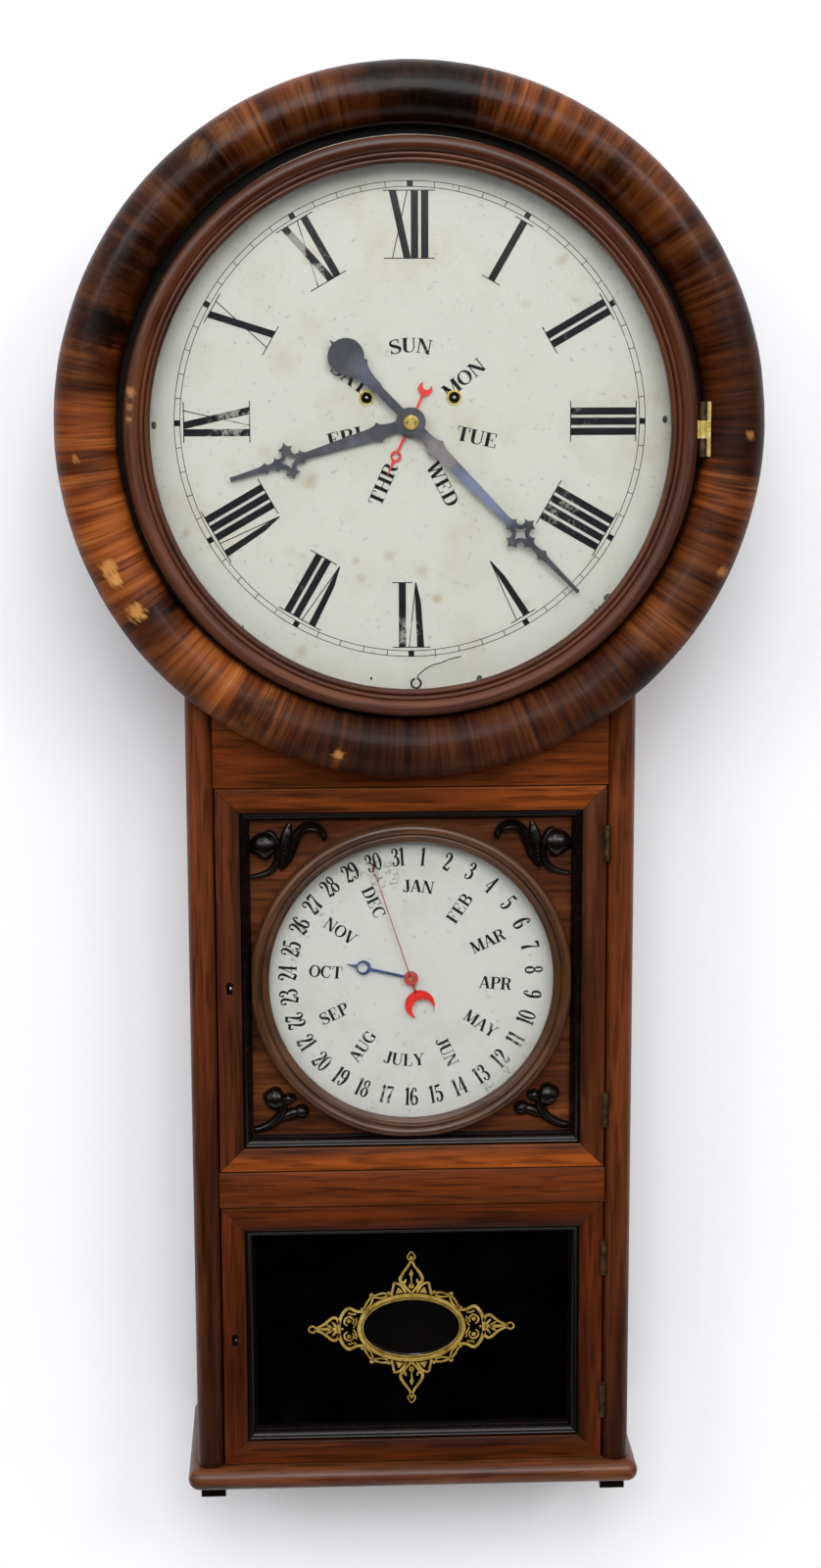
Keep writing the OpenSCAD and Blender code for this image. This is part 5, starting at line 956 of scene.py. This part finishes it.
spray = {"base": panelFront, "beadRadius": 0.85, "beadFront": 112.3, "full": 1.28,
         "beads": [(-86.6, -284.4), (-87.9, -290.0), (-88.5, -293.4), (-89.0, -296.7), (-89.6, -300.0), (-90.2, -303.3),
                   (-90.6, -306.6), (-91.0, -309.6)],
         "leaves": [  # groove; x, z, width and height along the spine
             (0.0, [(-113.6, -320.7, 2.4, 2.6), (-106.9, -319.4, 3.4, 3.6), (-100.2, -316.6, 4.2, 4.6),
                    (-96.0, -311.6, 4.8, 5.6), (-94.6, -305.8, 4.4, 6.2), (-95.1, -298.1, 4.0, 6.6),
                    (-97.1, -291.3, 3.6, 6.4), (-100.3, -288.1, 3.0, 5.6), (-102.8, -289.0, 2.2, 4.6)]),
             (0.0, [(-113.9, -302.8, 1.6, 1.0), (-111.4, -301.0, 10.5, 5.6), (-107.1, -299.3, 15.6, 8.0),
                    (-102.2, -298.5, 16.4, 8.5), (-97.8, -298.9, 13.0, 7.0), (-95.4, -299.8, 4.0, 3.0)]),
             (0.12, [(-92.0, -315.6, 2.6, 3.2), (-91.3, -309.4, 6.2, 4.6), (-90.1, -302.7, 7.6, 5.4),
                     (-88.9, -295.9, 7.8, 5.4), (-87.7, -289.1, 6.4, 4.6), (-86.3, -282.2, 1.6, 2.4)]),
             (0.1, [(-90.9, -314.4, 2.6, 3.2), (-86.4, -307.2, 4.6, 4.6), (-83.6, -299.1, 5.4, 5.4),
                    (-81.1, -291.5, 6.0, 6.0), (-77.3, -286.6, 6.0, 6.6), (-72.0, -284.6, 5.6, 7.4),
                    (-66.7, -285.6, 5.4, 7.6), (-62.9, -289.0, 5.0, 6.8), (-61.4, -292.4, 3.8, 5.0),
                    (-62.6, -294.6, 1.8, 2.6)]),
             (0.0, [(-113.8, -508.0, 4.2, 3.0), (-108.1, -506.6, 5.0, 4.0), (-100.8, -502.9, 5.6, 5.0),
                    (-95.7, -497.8, 5.8, 5.8), (-93.1, -491.8, 5.4, 6.2), (-92.0, -486.0, 4.0, 6.0)]),
             (0.0, [(-106.6, -486.0, 3.0, 2.0), (-104.4, -485.2, 10.0, 6.6), (-99.1, -484.6, 14.2, 8.4),
                    (-94.4, -484.3, 12.4, 7.4), (-91.9, -484.0, 5.0, 4.0)]),
             (0.0, [(-92.6, -487.0, 4.6, 4.6), (-88.4, -484.7, 7.4, 6.0), (-83.6, -483.9, 2.6, 3.0)]),
             (0.0, [(-94.6, -500.4, 3.6, 3.6), (-89.9, -497.3, 6.4, 4.8), (-85.4, -495.2, 6.6, 5.2),
                    (-81.6, -494.2, 4.6, 4.4)]),
             (0.0, [(-85.0, -494.8, 2.6, 2.0), (-82.6, -494.2, 7.2, 5.6), (-79.6, -494.4, 8.8, 6.8),
                    (-76.6, -495.3, 7.0, 5.6), (-74.6, -496.2, 2.4, 2.0)])]}
skins = []
for flip in (1, -1):
    for groove, leaf in spray["leaves"]:
        spots = [(x, z, spray["full"] * w, h) for x, z, w, h in leaf]
        skins.append((swell(spots, spray["base"], flip, groove), False))
settle("cornerCarvings", skinned("cornerCarvings", skins), "calendar_door", ebony,
       replaced=["corner_carvings"], sharp=50, merge=0)

# small turned or pressed shapes set on points, each with its own size and turn
setTree, given = geometryTree("setOnPoints", {"Shape": "Object", "Finish": "Material"})
shape = put(setTree, "GeometryNodeObjectInfo", {"Object": given["Shape"]}).outputs["Geometry"]
size = put(setTree, "GeometryNodeInputNamedAttribute", {"Name": "size"})
turn = put(setTree, "CombineXYZ", {1: put(setTree, "GeometryNodeInputNamedAttribute", {"Name": "turn"})})
laidOut = put(setTree, "GeometryNodeInstanceOnPoints",
              {0: given["Geometry"], "Instance": shape, "Rotation": turn, "Scale": size})
endTree(setTree, laidOut, given["Finish"])


def setOn(name, profile, places, body, finish, segments=12, squeeze=1.0, replaced=()):
    # profile of (radius, forward) in mm; places of (x, forward, z, size, turn)
    turns = [2 * math.pi * k / segments for k in range(segments)]
    sections = [[(r * mm * math.cos(t), -f * mm, squeeze * r * mm * math.sin(t)) for t in turns] for r, f in profile]
    shape = bpy.data.objects.new(name + "Shape", skinned(name + "Shape", [(sections, False)]))
    mesh = meshOf(name, [at(x, f, z) for x, f, z, size, turn in places])
    keep(mesh, "size", [p[3] for p in places])
    keep(mesh, "turn", [math.radians(p[4]) for p in places])
    result = grown(name, setTree, mesh, {"Shape": shape, "Finish": finish})
    bpy.data.objects.remove(shape)
    return settle(name, result, body, replaced=replaced, merge=0)


pearl = [(1.0, -0.8), (1.0, 0.0), (0.87, 0.5), (0.5, 0.87), (0.15, 0.99)]
pearls = [(flip * x, spray["beadFront"], z, spray["beadRadius"], 0) for flip in (1, -1) for x, z in spray["beads"]]
setOn("carvedPearls", pearl, pearls, "calendar_door", ebony)
dialPins = [(136.6, -121.0, 2.0, 52), (-134.0, -125.7, 2.0, -52), (47.3, -177.9, 2.0, 10), (-175.2, -1.3, 1.7, 0),
            (175.0, 1.0, 1.7, 0), (-116.7, -140.0, 0.8, 0), (-28.0, -176.6, 0.8, 0)]  # x, z, size and turn
setOn("dialPins", [(1.0, -0.3), (1.0, 0.25), (0.8, 0.45), (0.3, 0.55)],
      [(x, dialFace, z, size, turn) for x, z, size, turn in dialPins], "case", darkSteel, squeeze=1.5)
print("carving set")


def oval(outer, inner, count):  # a closed band between two ovals, given by their half sizes
    turns = [2 * math.pi * i / count for i in range(count)]
    return ([(outer[0] * math.cos(t), outer[1] * math.sin(t)) for t in turns],
            [(inner[0] * math.cos(t), inner[1] * math.sin(t)) for t in turns], True)


# black tablet with its oval window and gilt cartouche
tablet = {"centre": tabletZ, "back": 104.8, "front": panelFront, "window": (35.2, 21.3), "count": 96, "leaf": 0.12,
          "clearance": 0.05, "leftward": 0.6, "loop": (73.0, (3.1, 3.0), (1.9, 1.8), 24)}
lo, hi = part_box("tablet_glass")
halfX, halfZ = hi.x / mm, (hi.z - lo.z) / mm / 2
middle = (hi.z + lo.z) / 2 / mm + dialDrop
corner = math.atan2(halfZ, halfX)
turns = sorted([2 * math.pi * i / tablet["count"] for i in range(tablet["count"])]
               + [corner, math.pi - corner, math.pi + corner, 2 * math.pi - corner])
sections, (back, front) = [], (tablet["back"], tablet["front"])
for t in turns:
    reach = min(halfX / max(abs(math.cos(t)), 1e-9), halfZ / max(abs(math.sin(t)), 1e-9))
    x0, z0 = reach * math.cos(t), middle + reach * math.sin(t)
    x1, z1 = tablet["window"][0] * math.cos(t), tablet["centre"] + tablet["window"][1] * math.sin(t)
    sections.append([at(x0, front, z0), at(x1, front, z1), at(x1, back, z1), at(x0, back, z0)])
settle("tabletPane", skinned("tabletPane", [(sections, True)]), "pendulum_door", blackGlass,
       replaced=["tablet_glass"])
sides = tablet["count"]
rim, _, _ = oval([half - tablet["clearance"] for half in tablet["window"]], (0, 0), sides)
sections = [[at(x, f, tablet["centre"] + z) for x, z in rim] for f in (back, front)]
settle("tabletWindow", skinned("tabletWindow", [(sections, False)]), "pendulum_door", clearGlass)

upperHalf = [  # leaf over the oval, drawn on its left side
    brush((0, 52.4, 1.4), (-2.4, 47.6, 1.7), (-6.1, 42.4, 2.0), (-8.2, 38.0, 2.2), (-7.0, 34.9, 2.0), (-4.7, 35.4, 1.7),
          (-4.2, 37.6, 1.0)),
    brush((-5.8, 34.2, 1.8), (-4.4, 31.6, 1.7), (-0.3, 27.0, 1.6)),
    brush((0, 58.8, 0.7), (-2.3, 56.0, 1.0), (-2.6, 53.6, 1.1), (0, 51.4, 0.8)),
    brush((-12.7, 34.9, 1.5), (-13.6, 30.4, 1.7), (-14.8, 25.2, 1.9)),
    brush((-12.9, 34.7, 1.4), (-9.0, 33.9, 1.7), (-6.6, 31.4, 1.7), (-4.0, 27.2, 1.7)),
    ([(-11.6, 26.4), (-9.8, 31.0)], [(-5.9, 27.4), (-9.5, 31.2)], False),
    ball(-29.3, 25.6, 1.6), ball(-16.7, 27.0, 1.3), ball(-36.0, 14.9, 1.4),
    brush((-16.4, 26.0, 1.2), (-21.4, 26.9, 1.4), (-28.6, 24.8, 1.2)),
    brush((-17.5, 25.0, 1.0), (-22.0, 23.4, 1.2), (-28.4, 24.2, 1.2)),
    brush((-28.8, 24.9, 1.2), (-32.2, 20.8, 1.4), (-35.2, 14.8, 1.2)),
    brush((-28.4, 24.0, 1.2), (-29.6, 19.4, 1.2), (-33.6, 14.4, 1.0))]
upperMiddle = [ball(0, 32.3, 2.0), brush((0, 33, 1.0), (0, 36.6, 0.8), (0, 39.4, 1.2)),
               ([(-0.1, 38.6), (-1.5, 41.6), (-0.1, 45.0)], [(0.1, 38.6), (1.5, 41.6), (0.1, 45.0)], False),
               ball(0, 53.9, 1.3)]
sideHalf = [  # bracket, scroll and leaf to the left of the oval, drawn above the middle line
    brush((-34.4, 13.2, 1.8), (-40.4, 13.4, 2.0), (-46.2, 15.8, 2.3), (-50.6, 11.8, 2.3), (-53.0, 5.4, 2.3),
          (-53.4, 0.0, 2.4)),
    brush((-43.4, 3.4, 0.9), (-42.6, 6.4, 1.2), (-45.2, 9.2, 1.4), (-48.6, 7.8, 1.4), (-49.4, 4.6, 1.3),
          (-47.2, 2.3, 0.9)),
    ball(-46.0, 5.9, 1.5), brush((-46.4, 12.2, 1.5), (-43.6, 11.2, 1.2), (-40.6, 11.4, 1.0)),
    brush((-43.2, 7.4, 1.0), (-41.4, 7.0, 0.9), (-40.0, 8.2, 0.8)),
    brush((-42.8, 0.6, 0.9), (-41.2, 3.4, 1.0), (-40.2, 6.6, 0.9)),
    brush((-70.6, 0.6, 1.5), (-64.4, 3.6, 1.8), (-58.2, 8.6, 2.1), (-54.6, 7.6, 2.0), (-53.2, 3.6, 2.0)),
    brush((-54.4, 0.8, 1.6), (-56.4, 3.0, 1.9), (-58.4, 5.6, 0.8)),
    brush((-58.0, 0.4, 1.6), (-60.2, 2.0, 1.7), (-62.6, 3.4, 0.7))]
sideMiddle = [brush((-54, 0, 2.2), (-60, 0, 2.6), (-69.6, 0, 1.2)), ball(-50.9, 0, 0.9)]
away, *loop = tablet["loop"]
sideMiddle += laid([oval(*loop)], lambda x, y: (x - away, y))
strokes = [oval((39.9, 26.4), (37.1, 23.5), sides), oval((36.4, 22.7), (35.6, 21.8), sides)]
for sx in (1, -1):
    for sz in (1, -1):
        strokes += laid(upperHalf + sideHalf, lambda x, y, sx=sx, sz=sz: (sx * x, sz * y))
strokes += [s for sz in (1, -1) for s in laid(upperMiddle, lambda x, y, sz=sz: (x, sz * y))]
strokes += [s for sx in (1, -1) for s in laid(sideMiddle, lambda x, y, sx=sx: (sx * x, y))]
strokes = laid(strokes, lambda x, y: (x - tablet["leftward"], y + tablet["centre"]))
plates("giltCartouche", strokes, tablet["front"], tablet["leaf"], "pendulum_door", gilt)
print("tablet gilded")


# the wire hook at the foot of the bezel, the keyholes, drawn as near-black plates of painted shade, and the winding
# squares
def tube(path, radius, around=8):  # sections of a round wire along a path
    sections, last, normal = [], len(path) - 1, Vector((0, 0, 1))
    turns = [2 * math.pi * k / around for k in range(around)]
    for i, place in enumerate(path):
        tangent = (path[min(i + 1, last)] - path[max(i - 1, 0)]).normalized()
        normal = (normal - tangent * normal.dot(tangent)).normalized()
        across = tangent.cross(normal)
        sections.append([place + (normal * math.cos(t) + across * math.sin(t)) * radius * mm for t in turns])
    return sections


wire = {"radius": 0.45, "eye": (2.8, -178.9), "eyeRadius": 3.3, "eyeWire": 0.75, "forward": 136.4, "lean": 0.5,
        "shank": [0.0, 0.8, 1.6, 2.4, 3.2], "run": [(3.4, -175.6), (4.6, -172.9), (9.2, -169.2), (14.4, -166.4),
                                                    (19.8, -165.2), (25.6, -162.8), (34.4, -160.8)]}
eyeX, eyeZ = wire["eye"]
eyeSize = wire["eyeRadius"]
loopPath = [at(x, wire["forward"], z) for x, z in arc(eyeX, eyeZ, eyeSize, eyeSize, 78, -258, 28)]
shank = [at(eyeX, wire["forward"], eyeZ - eyeSize - down) for down in wire["shank"]]
skins = [(tube(path, wire["eyeWire"]), False) for path in (loopPath, shank)]
settle("screwEye", skinned("screwEye", skins), "bezel", dullBrass, merge=0)
path = [at(x, wire["forward"] - wire["lean"] * i, z) for i, (x, z) in enumerate(wire["run"])]
settle("bezelWire", skinned("bezelWire", [(tube(path, wire["radius"], 6), False)]), "bezel", darkSteel,
       merge=0)

keyhole = {"x": -130.0, "front": 120.0, "sunk": 0.2, "thick": 0.24, "round": 2.7, "slot": 1.9, "foot": 2.2, "drop": 6.2,
           "pin": (0.8, -1.6, 1.0)}
for name, body, z in (("calendarKeyhole", "calendar_door", calendarZ), ("pendulumKeyhole", "pendulum_door", tabletZ)):
    x, front, slot, foot = (keyhole[k] for k in ("x", "front", "slot", "foot"))
    low, (pinX, pinZ, pinSize) = z - keyhole["drop"], keyhole["pin"]
    strokes = [ball(x, z, keyhole["round"], 16),
               ([(x - slot, z), (x - foot, low)], [(x + slot, z), (x + foot, low)], False)]
    # painted shade: a near-black plate in the shape of the keyhole
    plates(name, strokes, front - keyhole["sunk"], keyhole["thick"], body, paintedHoleShade)
    setOn(name + "Pin", [(1.0, -0.2), (1.0, 0.3), (0.6, 0.6), (0.1, 0.7)], [(x + pinX, front, z + pinZ, pinSize, 0)],
          body, steel if body == "calendar_door" else darkSteel)

# the nut on the hands, the winding squares, painted dark as shade where they are sunk in their holes, and the leaf of
# the bezel hinge
nut = {"back": 132.4, "pip": 135.4}
setOn("handNut", [(5.2, 0), (5.25, 1.4), (4.9, 2.2), (4.1, 2.7), (2.6, 3.0), (0.8, 3.05)], [(0, nut["back"], 0, 1, 0)],
      "minute", brightBrass, segments=32, replaced=["hand_nut"])
setOn("handNutPip", [(0.8, 0), (0.7, 0.25), (0.3, 0.35)], [(0, nut["pip"], 0, 1, 0)], "minute", steel)
winding = {"sunk": 116.0, "tip": 124.0}  # the arbor is painted dark as shade forward of the first; a bright tip stands at the second
for node, name, body in (("time_great_wheel", "timeWinding", "time_great"),
                         ("strike_great_wheel", "strikeWinding", "strike_great")):
    work = cadCopy(node)
    mesh = meshOf(name, [])
    work.to_mesh(mesh)
    work.free()
    mesh.materials.append(brass)
    mesh.materials.append(paintedHoleShade)
    # painted shade: faces of the arbor forward of the sunk depth take the near-black finish
    mesh.polygons.foreach_set("material_index", [1 if -f.center.y > winding["sunk"] * mm else 0 for f in mesh.polygons])
    settle(name, mesh, body, replaced=[node], merge=0)
    lo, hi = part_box(node)
    setOn(name + "Tip", [(1.2, -0.1), (1.2, 0.2), (0.7, 0.45), (0.2, 0.5)],
          [((lo.x + hi.x) / 2 / mm, winding["tip"], (lo.z + hi.z) / 2 / mm + dialDrop, 1, 0)], body, steel)
hingeLeaf = {"left": 200.9, "right": 203.8, "low": -23.5, "high": 13.5, "back": 136.0, "thick": 10.4}
plates("bezelHingeFixedLeaf", [bar(*(hingeLeaf[k] for k in ("left", "low", "right", "high")))], hingeLeaf["back"],
       hingeLeaf["thick"], "case", brightBrass)
# the date hand: hub, fine pointer and crescent tail
dateHand = {"back": 104.4, "thick": 0.9, "pinBack": 105.2, "centre": calendarZ, "hub": 5.1, "reach": 89.9,
            "turn": 341.8, "width": 0.75, "taper": 0.7, "moon": (6.3, -416.8, 10.7, -107, -392),
            "bite": (8.5, -420.5, 7.9, -130, -374)}  # x, z, radius, from and to
turn = math.radians(dateHand["turn"])
tipX, tipZ = dateHand["reach"] * math.sin(turn), dateHand["centre"] + dateHand["reach"] * math.cos(turn)
sideX, sideZ = math.cos(turn) * dateHand["width"] / 2, -math.sin(turn) * dateHand["width"] / 2
endX, endZ = sideX * dateHand["taper"], sideZ * dateHand["taper"]
left, rightSide = ([(s * sideX, dateHand["centre"] + s * sideZ), (tipX + s * endX, tipZ + s * endZ)] for s in (-1, 1))
strokes = [ball(0, dateHand["centre"], dateHand["hub"], 24), (left, rightSide, False),
           brush((1.2, -401.6, 2.0), (2.2, -404.4, 1.6), (3.4, -407.8, 2.0))]
plates("datePointer", strokes, dateHand["back"], dateHand["thick"], "date", fadedRed,
       replaced=["date_hand"])
outerArc, innerArc = (arc(x, z, r, r, first, last, 40) for x, z, r, first, last in (dateHand["moon"], dateHand["bite"]))
innerArc[0], innerArc[-1] = outerArc[0], outerArc[-1]
pointed = 0.000001  # the horns of the crescent end in points
plates("dateCrescent", [(outerArc, innerArc, False)], dateHand["back"], dateHand["thick"], "date",
       redPaint, merge=pointed)
setOn("dateHubPin", [(1.1, 0), (1.0, 0.4), (0.5, 0.6)], [(0, dateHand["pinBack"], dateHand["centre"], 1, 0)], "date",
      darkSteel)
print("small fittings set")

finishes = {"back_board": paintedShadeInsidePine, "left_side": sideVeneer, "right_side": sideVeneer, "case_top": paintedShadeHeadPine,
            "base_board": baseVeneer, "base_feet": ebony, "dial_board": paintedShadeHeadPine,
            "main_dial": timePaint, "calendar_dial": calendarPaint, "calendar_panel": panelVeneer,
            "bezel_glass": clearGlass, "calendar_glass": clearGlass, "movement_seat": pine, "pendulum_rod": pine,
            "day_hand": redPaint, "minute_hand": bluedSteel, "hour_hand": bluedSteel,
            "month_hand": monthSteel, "gong": bluedSteel, "dial_screws": steel, "hanger_plate": steel,
            "hinge_pins": dullBrass, "fixed_hinge_leaves": dullBrass, "calendar_hinge_leaves": dullBrass,
            "pendulum_hinge_leaves": dullBrass, "winding_grommets": brightBrass, "bezel_hinge_leaf": brightBrass,
            "hammer": steel, "verge": steel, "calendar_rod": steel}
for name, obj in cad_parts.items():
    obj.data.materials[0] = finishes.get(name, brass)
